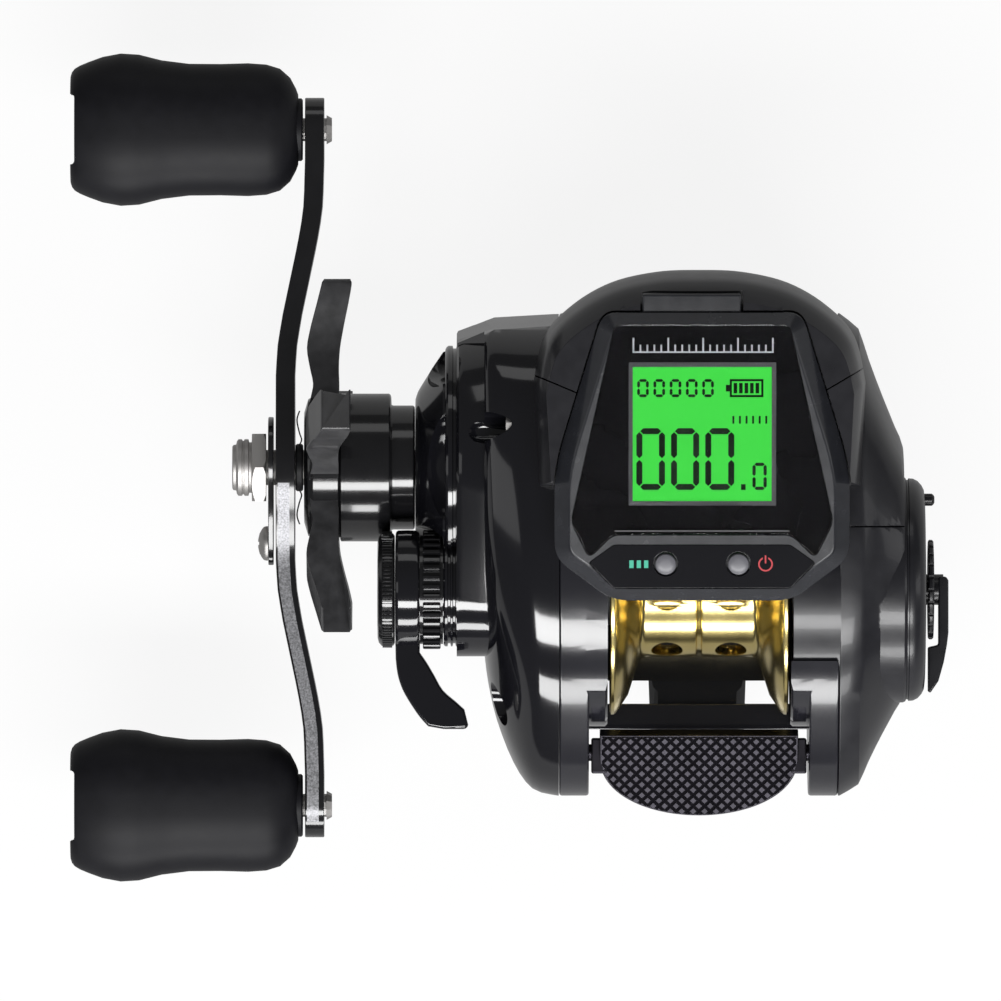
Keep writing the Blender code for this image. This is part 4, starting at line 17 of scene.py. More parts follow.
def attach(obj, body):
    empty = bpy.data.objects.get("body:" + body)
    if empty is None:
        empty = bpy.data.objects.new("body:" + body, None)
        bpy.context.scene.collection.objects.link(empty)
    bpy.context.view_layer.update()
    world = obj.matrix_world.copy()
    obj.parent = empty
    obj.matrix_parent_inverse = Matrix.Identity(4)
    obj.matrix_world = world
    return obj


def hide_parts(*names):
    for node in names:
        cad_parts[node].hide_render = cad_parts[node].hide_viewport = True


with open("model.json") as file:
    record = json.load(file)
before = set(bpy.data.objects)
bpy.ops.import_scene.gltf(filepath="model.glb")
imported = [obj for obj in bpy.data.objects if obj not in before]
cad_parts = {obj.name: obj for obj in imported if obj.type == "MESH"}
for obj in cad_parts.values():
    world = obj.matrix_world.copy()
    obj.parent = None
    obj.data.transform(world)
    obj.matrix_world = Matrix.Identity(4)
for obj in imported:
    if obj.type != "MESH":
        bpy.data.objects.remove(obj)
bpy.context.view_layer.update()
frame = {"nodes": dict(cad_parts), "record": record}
MM = 0.001

# %% [markdown]
# ## The camera
# The picture is taken from straight above with a long lens, so that near and far parts keep the same
# scale. The frame is square and 130 mm wide at the height of the reel's middle, and its middle lies
# to the left of the spool, because the handle takes up the left half.

# %% A long lens straight above
VIEW_WIDTH = 130.13 * MM
VIEW_MIDDLE = (-25.8 * MM, 11.6 * MM)
VIEW_HEIGHT = 3.0
FOCUS_HEIGHT = 30 * MM

camera_data = bpy.data.cameras.new("photo_camera")
camera_data.sensor_width = 36
camera_data.lens = camera_data.sensor_width * (VIEW_HEIGHT - FOCUS_HEIGHT) / VIEW_WIDTH
camera_data.clip_end = 20
camera = bpy.data.objects.new("photo_camera", camera_data)
camera.location = (VIEW_MIDDLE[0], VIEW_MIDDLE[1], VIEW_HEIGHT)
bpy.context.scene.collection.objects.link(camera)
bpy.context.scene.camera = camera
bpy.context.scene.view_settings.view_transform = "Standard"
print("lens", round(camera_data.lens), "mm")

# %% [markdown]
# ## The light
# Black plastic shows only what it mirrors. The sky right above stays dim, so that flat tops stay
# black. A long narrow strip hangs behind the reel, about 25 degrees from the vertical, and draws the
# crisp white bars along the hub and the rings, and lower boxes stand all round for the slopes.

# %% Soft boxes and a dim sky
world = bpy.data.worlds.new("studio")
world.use_nodes = True
bpy.context.scene.world = world
sky = world.node_tree.nodes["Background"]
sky.inputs["Color"].default_value = (1, 1, 1, 1)
sky.inputs["Strength"].default_value = 0.10


def soft_box(name, place, size, power, target=(0.0, 0.005, 0.02)):
    """A rectangular lamp at a place, turned to face the reel."""
    data = bpy.data.lights.new(name, "AREA")
    data.shape = "RECTANGLE"
    data.size, data.size_y = size
    data.energy = power
    lamp = bpy.data.objects.new(name, data)
    lamp.location = place
    aim = Vector(target) - Vector(place)
    lamp.rotation_euler = aim.to_track_quat("-Z", "Y").to_euler()
    bpy.context.scene.collection.objects.link(lamp)
    return lamp


soft_box("strip_high", (-0.02, -0.54, 1.00), (1.00, 0.25), 11.5)
soft_box("strip_low", (0.00, -0.92, 0.42), (0.90, 0.22), 7.0)
soft_box("box_far", (0.00, 0.92, 0.44), (0.90, 0.26), 0.6)
soft_box("box_left", (-0.80, 0.05, 0.42), (0.22, 0.75), 0.35)
soft_box("box_right", (0.82, 0.05, 0.42), (0.20, 0.70), 0.6)

# %% [markdown]
# ## The floor
# The reel seems to float on white. The floor is a wide sheet just under the handle's lowest point. It
# shows white to the camera and through glass, and a dimmer white to mirrors, so that the steep
# black slopes stay black. Part of its shading is left in, and it keeps the reel's soft shadow.

# %% A white sheet that keeps the shadow
FLOOR_HEIGHT = -12 * MM


def clear():
    """Leave edit mode and let go of everything."""
    if bpy.context.object and bpy.context.object.mode != "OBJECT":
        bpy.ops.object.mode_set(mode="OBJECT")
    bpy.ops.object.select_all(action="DESELECT")


clear()
bpy.ops.mesh.primitive_plane_add(size=6, location=(0, 0, FLOOR_HEIGHT))
floor = bpy.context.object
floor.name = "floor"
bpy.ops.object.transform_apply(location=True, rotation=True, scale=True)
paper = bpy.data.materials.new("white_paper")
paper.use_nodes = True
nodes, links = paper.node_tree.nodes, paper.node_tree.links
shader = nodes["Principled BSDF"]
shader.inputs["Base Color"].default_value = (0.9, 0.9, 0.9, 1)
shader.inputs["Roughness"].default_value = 0.9
shader.inputs["Specular IOR Level"].default_value = 0.0
glow = nodes.new("ShaderNodeEmission")
rays = nodes.new("ShaderNodeLightPath")
seen = nodes.new("ShaderNodeMath")
seen.operation = "MAXIMUM"
also = nodes.new("ShaderNodeMath")
also.operation = "MAXIMUM"
links.new(rays.outputs["Is Camera Ray"], seen.inputs[0])
links.new(rays.outputs["Is Glossy Ray"], seen.inputs[1])
links.new(seen.outputs[0], also.inputs[0])
links.new(rays.outputs["Is Transmission Ray"], also.inputs[1])
share = nodes.new("ShaderNodeMath")
share.operation = "MULTIPLY"
share.inputs[1].default_value = 0.88
links.new(also.outputs[0], share.inputs[0])
mix = nodes.new("ShaderNodeMixShader")
dimmed = nodes.new("ShaderNodeMath")
dimmed.operation = "MULTIPLY_ADD"
dimmed.inputs[1].default_value = -0.7
dimmed.inputs[2].default_value = 1.0
links.new(rays.outputs["Is Glossy Ray"], dimmed.inputs[0])
links.new(dimmed.outputs[0], glow.inputs["Strength"])
links.new(share.outputs[0], mix.inputs[0])
links.new(shader.outputs[0], mix.inputs[1])
links.new(glow.outputs[0], mix.inputs[2])
links.new(mix.outputs[0], nodes["Material Output"].inputs["Surface"])
floor.data.materials.append(paper)
print("floor at", FLOOR_HEIGHT)

# %% [markdown]
# ## Finishes
# Each finish is one Principled shader fed by a little procedural noise. Moulded plastic gets a fine
# grain that breaks its highlights, metal gets a tight streaky noise, and all of them vary a little in
# roughness, because no real surface is even. The noise reads Object coordinates, so it stays on the
# part when the part turns.


# %% A helper that mixes a finish
def finish(name, colour, roughness, metallic=0.0, grain=900.0, depth=0.02, vary=0.05, stretch=(1, 1, 1),
           coat=0.0, coat_roughness=0.05, specular=0.5, tint=0.12, ior=1.5, patches=12):
    """A Principled finish with noise in its colour, its roughness and its surface."""
    material = bpy.data.materials.new(name)
    material.use_nodes = True
    nodes, links = material.node_tree.nodes, material.node_tree.links
    shader = nodes["Principled BSDF"]
    shader.inputs["Metallic"].default_value = metallic
    shader.inputs["Coat Weight"].default_value = coat
    shader.inputs["Coat Roughness"].default_value = coat_roughness
    shader.inputs["Specular IOR Level"].default_value = specular
    shader.inputs["IOR"].default_value = ior
    place = nodes.new("ShaderNodeTexCoord")
    turn = nodes.new("ShaderNodeMapping")
    turn.inputs["Scale"].default_value = stretch
    links.new(place.outputs["Object"], turn.inputs["Vector"])
    noise = nodes.new("ShaderNodeTexNoise")
    noise.inputs["Scale"].default_value = grain
    noise.inputs["Detail"].default_value = 3
    links.new(turn.outputs["Vector"], noise.inputs["Vector"])
    cloud = nodes.new("ShaderNodeTexNoise")
    cloud.inputs["Scale"].default_value = grain / patches
    cloud.inputs["Detail"].default_value = 4
    links.new(turn.outputs["Vector"], cloud.inputs["Vector"])
    ramp = nodes.new("ShaderNodeValToRGB")
    ramp.color_ramp.elements[0].position = 0.3
    ramp.color_ramp.elements[1].position = 0.7
    ramp.color_ramp.elements[0].color = (*[channel * (1 - tint) for channel in colour], 1)
    ramp.color_ramp.elements[1].color = (*[min(channel * (1 + tint), 1) for channel in colour], 1)
    links.new(cloud.outputs["Fac"], ramp.inputs["Fac"])
    links.new(ramp.outputs["Color"], shader.inputs["Base Color"])
    spread = nodes.new("ShaderNodeMapRange")
    spread.inputs["To Min"].default_value = max(roughness - vary, 0.02)
    spread.inputs["To Max"].default_value = min(roughness + vary, 1)
    links.new(cloud.outputs["Fac"], spread.inputs["Value"])
    links.new(spread.outputs["Result"], shader.inputs["Roughness"])
    bump = nodes.new("ShaderNodeBump")
    bump.inputs["Strength"].default_value = 0.6
    bump.inputs["Distance"].default_value = depth * MM
    links.new(noise.outputs["Fac"], bump.inputs["Height"])
    links.new(bump.outputs["Normal"], shader.inputs["Normal"])
    return material


# %% The reel's finishes
GLOSS = finish("black_gloss", (0.006, 0.006, 0.008), 0.10, grain=500, depth=0.002, vary=0.03, coat=0.6)
SATIN = finish("black_satin", (0.009, 0.009, 0.011), 0.28, grain=5200, depth=0.006, vary=0.05)
PLAIN = finish("black_plain", (0.013, 0.013, 0.015), 0.5, grain=4000, depth=0.01, vary=0.06)
BLACK_METAL = finish("black_metal", (0.008, 0.008, 0.009), 0.14, grain=4200, depth=0.002, vary=0.04, coat=0.5)
GRIP = finish("grip_black", (0.006, 0.006, 0.008), 0.5, grain=6500, depth=0.01, vary=0.05, specular=0.22)
BEZEL = finish("bezel_grey", (0.020, 0.021, 0.025), 0.26, grain=5200, depth=0.005, vary=0.05)
GOLD = finish("gold", (0.70, 0.57, 0.235), 0.2, metallic=1.0, grain=2600, depth=0.002, vary=0.05,
              stretch=(1, 0.1, 0.1), tint=0.05)
BRASS = finish("brass", (0.70, 0.52, 0.22), 0.3, metallic=1.0, grain=3000, depth=0.004)
STEEL = finish("steel", (0.50, 0.487, 0.475), 0.5, metallic=1.0, grain=3500, depth=0.004, stretch=(1, 0.15, 0.15))
MAGNET = finish("magnet", (0.30, 0.30, 0.31), 0.35, metallic=1.0, grain=3500, depth=0.003)
CELL = finish("cell_metal", (0.45, 0.46, 0.48), 0.35, metallic=1.0, grain=1200, depth=0.01)
CARBON = finish("carbon", (0.03, 0.03, 0.03), 0.7, grain=5000, depth=0.03)
PALE = finish("pale_plastic", (0.72, 0.72, 0.70), 0.45, grain=2500, depth=0.006, tint=0.03)
BOARD = finish("board_green", (0.02, 0.16, 0.05), 0.4, grain=2000, depth=0.01)
KEY = finish("key_grey", (0.13, 0.13, 0.145), 0.32, grain=3500, depth=0.006)
THUMB = finish("thumb_grey", (0.040, 0.038, 0.045), 0.36, metallic=1.0, grain=4200, depth=0.003)
GLASS = finish("dark_glass", (0.006, 0.006, 0.008), 0.05, grain=200, depth=0.0005, vary=0.02)
GREEN = finish("screen_green", (0.045, 0.68, 0.053), 0.4, grain=300, depth=0.001, tint=0.02)
FINISHES = {
    "black_gloss": GLOSS, "black_satin": SATIN, "black_plain": PLAIN, "black_metal": BLACK_METAL,
    "grip_black": GRIP, "bezel_grey": BEZEL, "gold": GOLD, "brass": BRASS, "steel": STEEL,
    "magnet": MAGNET, "cell_metal": CELL, "carbon": CARBON, "pale_plastic": PALE,
    "board_green": BOARD, "key_grey": KEY, "thumb_grey": THUMB, "dark_glass": GLASS,
    "screen_green": GREEN,
}
for subpart in frame["record"]["subparts"]:
    node = frame["nodes"][subpart["node"]]
    coat = FINISHES[subpart["material_slot"]]
    for place in node.material_slots:
        place.material = coat
print("finishes", len(FINISHES))

# %% [markdown]
# ## Tools of the bench
# Nearly every piece below starts as a line drawn point by point. The line is spun round an axis for
# turned parts, filled and pushed out for plates and covers, or bridged to other lines for bodies that
# change shape along their length. Sizes are given in millimetres and turned into metres here.


# %% Drawing a line
def at(*place):
    """A place in metres from a place in millimetres."""
    return Vector(place) * MM


def drawn_line(name, points):
    """A chain of edges through the points, left open in edit mode."""
    clear()
    bpy.ops.mesh.primitive_plane_add(size=0.001, location=(0, 0, 0))
    piece = bpy.context.object
    piece.name = name
    bpy.ops.object.mode_set(mode="EDIT")
    bpy.ops.mesh.merge(type="CENTER")
    bpy.ops.transform.translate(value=at(*points[0]))
    for start, stop in zip(points, points[1:]):
        step = at(*stop) - at(*start)
        bpy.ops.mesh.extrude_region_move(TRANSFORM_OT_translate={"value": step})
    return piece


def closed_up(piece, merge=True):
    """Merge what touches, point the faces outwards and leave edit mode."""
    bpy.ops.mesh.select_all(action="SELECT")
    if merge:
        bpy.ops.mesh.remove_doubles(threshold=0.000001)
    bpy.ops.mesh.normals_make_consistent(inside=False)
    bpy.ops.object.mode_set(mode="OBJECT")
    return piece


# %% Turning, pushing out and bridging
def turned(name, profile, centre, steps=96):
    """A profile of (x, radius) spun once round an axis along X."""
    piece = drawn_line(name, [(x, centre[0], centre[1] + radius) for x, radius in profile])
    bpy.ops.mesh.select_all(action="SELECT")
    bpy.ops.mesh.spin(steps=steps, angle=math.tau, center=at(0, *centre), axis=(1, 0, 0))
    return closed_up(piece)


def plate(name, outline, step):
    """An outline filled and pushed out by a step."""
    piece = drawn_line(name, outline)
    bpy.ops.mesh.select_all(action="SELECT")
    bpy.ops.mesh.edge_face_add()
    bpy.ops.mesh.extrude_region_move(TRANSFORM_OT_translate={"value": at(*step)})
    return closed_up(piece, merge=False)


def bridged(name, rings):
    """Closed rings of points bridged one after the other, with both ends filled."""
    loops = []
    for ring in rings:
        loop = drawn_line(name, ring)
        bpy.ops.mesh.select_all(action="DESELECT")
        bpy.ops.object.mode_set(mode="OBJECT")
        loop.data.vertices[0].select = True
        loop.data.vertices[len(ring) - 1].select = True
        bpy.ops.object.mode_set(mode="EDIT")
        bpy.ops.mesh.edge_face_add()
        bpy.ops.object.mode_set(mode="OBJECT")
        loops.append(loop)
    return joined(loops[0], loops[1:], bridge=True)


def joined(piece, others, bridge=False):
    """Several meshes in one object, bridged ring to ring where asked."""
    clear()
    for other in others:
        other.select_set(True)
    piece.select_set(True)
    bpy.context.view_layer.objects.active = piece
    if others:
        bpy.ops.object.join()
    if bridge:
        bpy.ops.object.mode_set(mode="EDIT")
        bpy.ops.mesh.select_all(action="SELECT")
        bpy.ops.mesh.bridge_edge_loops()
        bpy.ops.mesh.select_all(action="SELECT")
        bpy.ops.mesh.fill_holes(sides=0)
        closed_up(piece, merge=False)
    return piece


# %% Finishing a mesh
def modified(piece, kind, **settings):
    """Add a modifier, set it and apply it."""
    clear()
    piece.select_set(True)
    bpy.context.view_layer.objects.active = piece
    step = piece.modifiers.new(kind.lower(), kind)
    for key, value in settings.items():
        setattr(step, key, value)
    bpy.ops.object.modifier_apply(modifier=step.name)
    return piece


def bevelled(piece, width, segments=3, angle=35):
    """Round the edges that are sharper than an angle in degrees."""
    return modified(piece, "BEVEL", width=width * MM, segments=segments, limit_method="ANGLE",
                    angle_limit=math.radians(angle), use_clamp_overlap=True, miter_outer="MITER_ARC")


def combined(piece, others, operation):
    """Weld the others on or cut them away."""
    for other in others:
        modified(piece, "BOOLEAN", operation=operation, object=other, solver="EXACT")
        bpy.data.objects.remove(other)
    return piece


def smooth(piece, angle=32):
    """Shade the soft edges smooth and keep the sharp ones."""
    clear()
    piece.select_set(True)
    bpy.context.view_layer.objects.active = piece
    bpy.ops.object.shade_smooth_by_angle(angle=math.radians(angle))
    return piece


def ready(piece, name, material, body, slot, *replaced, angle=32):
    """Name a finished piece, paint it, hang it on its body and hide the solids it stands for."""
    piece.name = name
    smooth(piece, angle)
    bpy.ops.object.transform_apply(location=True, rotation=True, scale=True)
    modified(piece, "WEIGHTED_NORMAL", keep_sharp=True, weight=60)
    if not piece.data.materials:
        piece.data.materials.append(material)
    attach(piece, body)
    if replaced:
        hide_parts(*replaced)
    print(name, "faces", len(piece.data.polygons))
    return piece


def eased(points, parts=6, loop=False):
    """A smooth curve through the points, with some parts between each two."""
    count = len(points)
    curve = []
    for index in range(count if loop else count - 1):
        if loop:
            corners = [points[(index + step) % count] for step in (-1, 0, 1, 2)]
        else:
            corners = [points[min(max(index + step, 0), count - 1)] for step in (-1, 0, 1, 2)]
        for part in range(parts):
            t = part / parts
            weights = (-0.5 * t + t * t - 0.5 * t ** 3, 1 - 2.5 * t * t + 1.5 * t ** 3,
                       0.5 * t + 2 * t * t - 1.5 * t ** 3, -0.5 * t * t + 0.5 * t ** 3)
            curve.append(tuple(sum(weight * corner[axis] for weight, corner in zip(weights, corners))
                               for axis in range(len(points[0]))))
    if not loop:
        curve.append(tuple(points[-1]))
    return curve


def oval(x, centre, half_y, half_z, power=1.0, count=72):
    """A ring of points round an axis along X, squarer where the power is below 1."""
    ring = []
    for index in range(count):
        angle = math.tau * index / count
        along, up = math.cos(angle), math.sin(angle)
        ring.append((x, centre[0] + half_y * math.copysign(abs(along) ** power, along),
                     centre[1] + half_z * math.copysign(abs(up) ** power, up)))
    return ring


CRANK = (15.9047, 17.7)
SPOOL_AXIS = (0.0, 25.0)
print("bench ready")

# %% [markdown]
# ## The grips
# A grip is soft black rubber over a hard core, waisted in the middle so that two fingers find it. It
# is an oval that swells and narrows along its length, so a row of oval rings is bridged. A shallow
# saddle across its outer end leaves two rims, and a small cap closes the bearing's pocket.

# %% Two grips and their caps
GRIP_SHARES = [(0.0, 0.70), (0.006, 0.755), (0.018, 0.80), (0.04, 0.84), (0.08, 0.89), (0.14, 0.955),
               (0.22, 1.0), (0.30, 0.985), (0.40, 0.91), (0.52, 0.865), (0.66, 0.862), (0.78, 0.872),
               (0.86, 0.855), (0.92, 0.80), (0.965, 0.68), (0.99, 0.54), (1.0, 0.46)]
GRIP_LENGTH = 29.7
GRIP_END = -81.9
GRIP_HALF = (9.95, 8.0)
for side, grip_y in (("front", CRANK[0] + 44.1), ("rear", CRANK[0] - 44.1)):
    middle = (grip_y, CRANK[1])
    rings = [oval(GRIP_END + share * GRIP_LENGTH, middle, GRIP_HALF[0] * size, GRIP_HALF[1] * size, 0.82)
             for share, size in GRIP_SHARES]
    grip = bridged("grip", rings)
    saddle = plate("saddle", [(GRIP_END - 1, grip_y + reach, level) for reach, level in
                              ((-4.6, 5), (4.6, 5), (4.6, 31), (-4.6, 31))], (1.55, 0, 0))
    pocket = bridged("pocket", [oval(x, middle, 5.2, 4.3, 0.82, 48) for x in (GRIP_END - 1, -80.2)])
    combined(grip, [bevelled(saddle, 0.5, 4), pocket], "DIFFERENCE")
    neck = turned("neck", [(-52.8, 0), (-52.8, 4.1), (-51.8, 4.1), (-51.6, 3.9), (-51.6, 0)], middle, 48)
    combined(grip, [neck], "UNION")
    ready(grip, f"rubber_grip_{side}", GRIP, f"{side}_grip", "grip_black", f"grip_{side}")
    rings = [oval(x, middle, 5.0 * size, 4.1 * size, 0.82, 48) for x, size in
             ((-80.25, 0.99), (-80.9, 0.99), (-81.1, 0.95), (-81.2, 0.86), (-81.25, 0.6))]
    ready(bridged("cap", rings), f"end_cap_{side}", PLAIN, f"{side}_grip", "black_plain", f"grip_cap_{side}")

# %% [markdown]
# ## The bowed arm
# The arm is stamped from aluminium plate and bent, so that the grips come close to the cover. Its
# cross-section is a plain rectangle that follows the bend, and it is bridged from end to end, with a
# small bevel where the stamping was tumbled. One half of its top edge is left with a sparkling finish.

# %% One strip from end to end
ARM_BEND = [(0, -53.85), (8, -53.85), (12.5, -53.85), (16, -53.6), (19.5, -53.05), (24.5, -52.0), (28.3, -51.2),
            (31.4, -50.6), (34.5, -50.2), (40, -50.05), (48.3, -50.05)]


def bend_at(reach):
    """The middle of the arm's thickness at a distance from the crank."""
    for (near, low), (far, high) in zip(ARM_BEND, ARM_BEND[1:]):
        if reach <= far:
            return low + (high - low) * (reach - near) / (far - near)
    return ARM_BEND[-1][1]


def arm_half_width(reach):
    """Half the arm's width: wide at the crank, narrow at the grips, round at both ends."""
    share = min(max(reach / 12.5, 0), 1)
    width = 7.4 - 2.9 * share * share * (3 - 2 * share)
    if reach > 12.5:
        width = 4.5 - 0.3 * (reach - 12.5) / 31.6
    if reach > 44.1:
        width = math.sqrt(max(4.2 ** 2 - (reach - 44.1) ** 2, 0.35 ** 2))
    return width


reaches = [0, 2, 4, 6, 8, 10, 12, 14, 16, 18, 20, 22, 24, 26, 28, 30, 32, 34, 36, 38, 40, 42, 44.1, 45.2,
           46.2, 47.0, 47.6, 48.0, 48.25]
stations = [-reach for reach in reversed(reaches)] + reaches[1:]
rings = []
for reach in stations:
    half, bend = arm_half_width(abs(reach)), bend_at(abs(reach))
    rings.append([(bend + x, CRANK[0] + reach, CRANK[1] + side * half) for x, side in
                  ((-1.25, -1), (1.25, -1), (1.25, 1), (0.55, 1), (-0.98, 1), (-1.25, 1))])
arm = bridged("arm", rings)
for side in (1, -1):
    slot_hole = [(-60, CRANK[0] + side * (23.25 + 6.25 * math.copysign(1, math.cos(angle)) + 1.5 * math.cos(angle)),
                  CRANK[1] + 1.5 * math.sin(angle)) for angle in [math.tau * (i + 0.5) / 24 for i in range(24)]]
    combined(arm, [plate("slot", slot_hole, (14, 0, 0))], "DIFFERENCE")
bevelled(arm, 0.2, 2, 50)
ARM_EDGE = finish("arm_edge", (0.22, 0.22, 0.23), 0.4, metallic=0.7, grain=5600, depth=0.012, vary=0.12, tint=0.5,
                  patches=1.3)
arm.data.materials.append(BLACK_METAL)
arm.data.materials.append(ARM_EDGE)
for face in arm.data.polygons:
    offset = face.center.x / MM - bend_at(abs(face.center.y / MM - CRANK[0]))
    if face.normal.z > 0.9 and face.center.y < 14.2 * MM and face.center.z > CRANK[1] * MM and abs(offset + 0.21) < 0.2:
        face.material_index = 1
ready(arm, "bowed_arm", BLACK_METAL, "crank", "black_metal", "handle_arm", angle=25)


# %% [markdown]
# ## The handle nut
# The crank is held by a nickel-plated nut with a long round nose. The hexagon is pushed out of its
# outline, its corners are chamfered by the shape of a turned blank that it shares, and the nose is
# turned with two grooves.

# %% The nut, its retainer and the spacer
NUT_CORNER = 8.8 / math.sqrt(3)
hexagon = [(-58.24, CRANK[0] + NUT_CORNER * math.sin(math.tau * i / 6), CRANK[1] + NUT_CORNER * math.cos(math.tau * i / 6))
           for i in range(6)]
nut = plate("nut", hexagon, (1.84, 0, 0))
blank = turned("blank", [(-58.3, 0), (-58.3, 4.25), (-57.75, 5.12), (-56.75, 5.12), (-56.35, 4.6), (-56.35, 0)], CRANK)
combined(nut, [blank], "INTERSECT")
nose = turned("nose", [(-60.8, 0), (-60.8, 2.75), (-60.65, 2.95), (-60.3, 3.0), (-60.2, 3.45), (-60.0, 3.7),
                       (-59.55, 3.7), (-59.45, 3.5), (-59.3, 3.5), (-59.2, 3.7), (-58.7, 3.7), (-58.6, 3.3),
                       (-58.3, 3.3), (-58.2, 3.9), (-58.0, 3.9), (-58.0, 0)], CRANK)
combined(nut, [nose], "UNION")
ready(nut, "nickel_nut", STEEL, "crank", "steel", "handle_nut", angle=28)
outline = [(-56.1, CRANK[0] + along, CRANK[1] + up) for along, up in
           eased([(-11.5, 2.2), (-12.6, 0.9), (-12.6, -0.9), (-11.5, -2.2), (-6, -3.8), (-0.5, -5.9), (3.6, -5.9),
                  (5.9, -3.8), (6.6, 0), (5.9, 3.8), (3.6, 5.9), (-0.5, 5.9), (-6, 3.8)], 5, True)]
retainer = bevelled(plate("retainer", outline, (0.7, 0, 0)), 0.12, 2, 50)
ready(retainer, "nut_keeper", BLACK_METAL, "crank", "black_metal", "nut_retainer")
head = turned("head", [(-57.45, 0), (-57.42, 0.6), (-57.25, 1.3), (-56.95, 1.85), (-56.7, 2.15), (-56.4, 2.25),
                       (-56.15, 2.25), (-56.15, 0)], (6.0, CRANK[1]), 48)
cross = [plate("cross", [(-58, 6.0 + a * 1.1, CRANK[1] + b * 0.2), (-58, 6.0 - a * 1.1, CRANK[1] + b * 0.2),
                         (-58, 6.0 - a * 1.1, CRANK[1] - b * 0.2), (-58, 6.0 + a * 1.1, CRANK[1] - b * 0.2)], (1.1, 0, 0))
         for a, b in ((1, 1), (0.19, 5.4))]
combined(head, cross, "DIFFERENCE")
ready(head, "keeper_screw", STEEL, "crank", "steel", "retainer_screw")
spacer = turned("spacer", [(-52.55, 1.0), (-52.55, 2.9), (-52.35, 3.1), (-51.75, 3.1), (-51.55, 2.9), (-51.55, 1.0),
                           (-52.55, 1.0)], CRANK, 48)
for end in (1, -1):
    path = [(-52.1, CRANK[0] + end * 2.9, 18.6), (-51.75, CRANK[0] + end * 3.6, 18.9), (-52.05, CRANK[0] + end * 4.6, 19.2),
            (-52.35, CRANK[0] + end * 6.2, 19.5), (-52.0, CRANK[0] + end * 7.4, 19.7)]
    wires = [bridged("wire", [[(x + 0.1 * math.cos(math.tau * i / 8), y, z + 0.1 * math.sin(math.tau * i / 8))
                               for i in range(8)] for x, y, z in eased(path, 4)])]
    spacer = joined(spacer, wires)
ready(spacer, "wire_spacer", PLAIN, "crank", "steel", "handle_spacer")

# %% [markdown]
# ## The star
# The star sets the drag. It is a turned hub with five blades that lean outwards to the handle, so each
# blade is a row of rectangles that is bridged from the hub to the tip, bevelled, turned round to five
# places and welded to the hub.

# %% A hub and five blades
STAR_FACE = -51.4
STAR_STATIONS = [(5, 2.6, 4.2, 9.4), (8, 2.6, 3.9, 8.6), (9.6, 2.75, 3.6, 7.3), (11, 2.85, 3.4, 6.5),
                 (13.2, 2.6, 3.8, 5.7), (15.6, 2.5, 4.3, 5.2), (18, 2.9, 4.3, 5.3), (19.8, 3.3, 4.2, 5.5),
                 (21.5, 3.7, 4.1, 5.75), (23.6, 4.15, 3.95, 5.7), (24.25, 4.25, 3.8, 5.5), (24.6, 4.3, 3.3, 5.0)]
hub = turned("hub", [(-51.4, 0), (-51.4, 7.2), (-50.9, 8.9), (-50.2, 9.35), (-47.0, 9.35), (-46.75, 9.1),
                     (-46.7, 9.45), (-46.55, 9.65), (-40.35, 9.65), (-40.15, 9.5), (-40.05, 9.2), (-40.0, 8.2),
                     (-39.8, 8.1), (-37.2, 8.1), (-37.0, 7.9), (-36.96, 7.6), (-36.96, 0)], CRANK, 120)
blades = []
for index in range(5):
    turn = math.tau * index / 5
    rings = []
    for reach, middle, thick, wide in eased(STAR_STATIONS, 3):
        ring = []
        for across, deep in ((-1, -1), (1, -1), (1, 1), (-1, 1)):
            x = STAR_FACE + middle + deep * thick / 2
            along, up = reach, across * wide / 2
            ring.append((x, CRANK[0] + along * math.cos(turn) - up * math.sin(turn),
                         CRANK[1] + along * math.sin(turn) + up * math.cos(turn)))
        rings.append(ring)
    blades.append(bevelled(bridged("blade", rings), 0.55, 3, 50))
combined(hub, blades, "UNION")
BLADE_METAL = finish("blade_metal", (0.030, 0.030, 0.032), 0.36, grain=5200, depth=0.008, vary=0.08, tint=0.4, coat=0.3)
hub.data.materials.append(BLACK_METAL)
hub.data.materials.append(BLADE_METAL)
for face in hub.data.polygons:
    reach = math.hypot(face.center.y / MM - CRANK[0], face.center.z / MM - CRANK[1])
    face.material_index = 1 if reach > 9.75 else 0
ready(hub, "star_wheel", BLACK_METAL, "star", "black_metal", "star_drag", angle=28)

# %% [markdown]
# ## The tension knob, the click ring and the lever
# Three turned pieces sit on the tension boss. Their edges are cut with teeth, so each one starts as a
# toothed outline that is pushed out and bevelled. The finger lever is a curved plate that grows out
# of the middle ring.

# %% Toothed discs on the spool's axis


def toothed(name, start, stop, radius, count, depth, land=0.5):
    """A disc along X with teeth cut in its rim."""
    outline = []
    for index in range(count):
        for share, low in ((0.0, 0), (land, 0), (land + 0.12, 1), (0.88, 1)):
            angle = math.tau * (index + share) / count
            outline.append((start, SPOOL_AXIS[0] + (radius - depth * low) * math.cos(angle),
                            SPOOL_AXIS[1] + (radius - depth * low) * math.sin(angle)))
    return plate(name, outline, (stop - start, 0, 0))


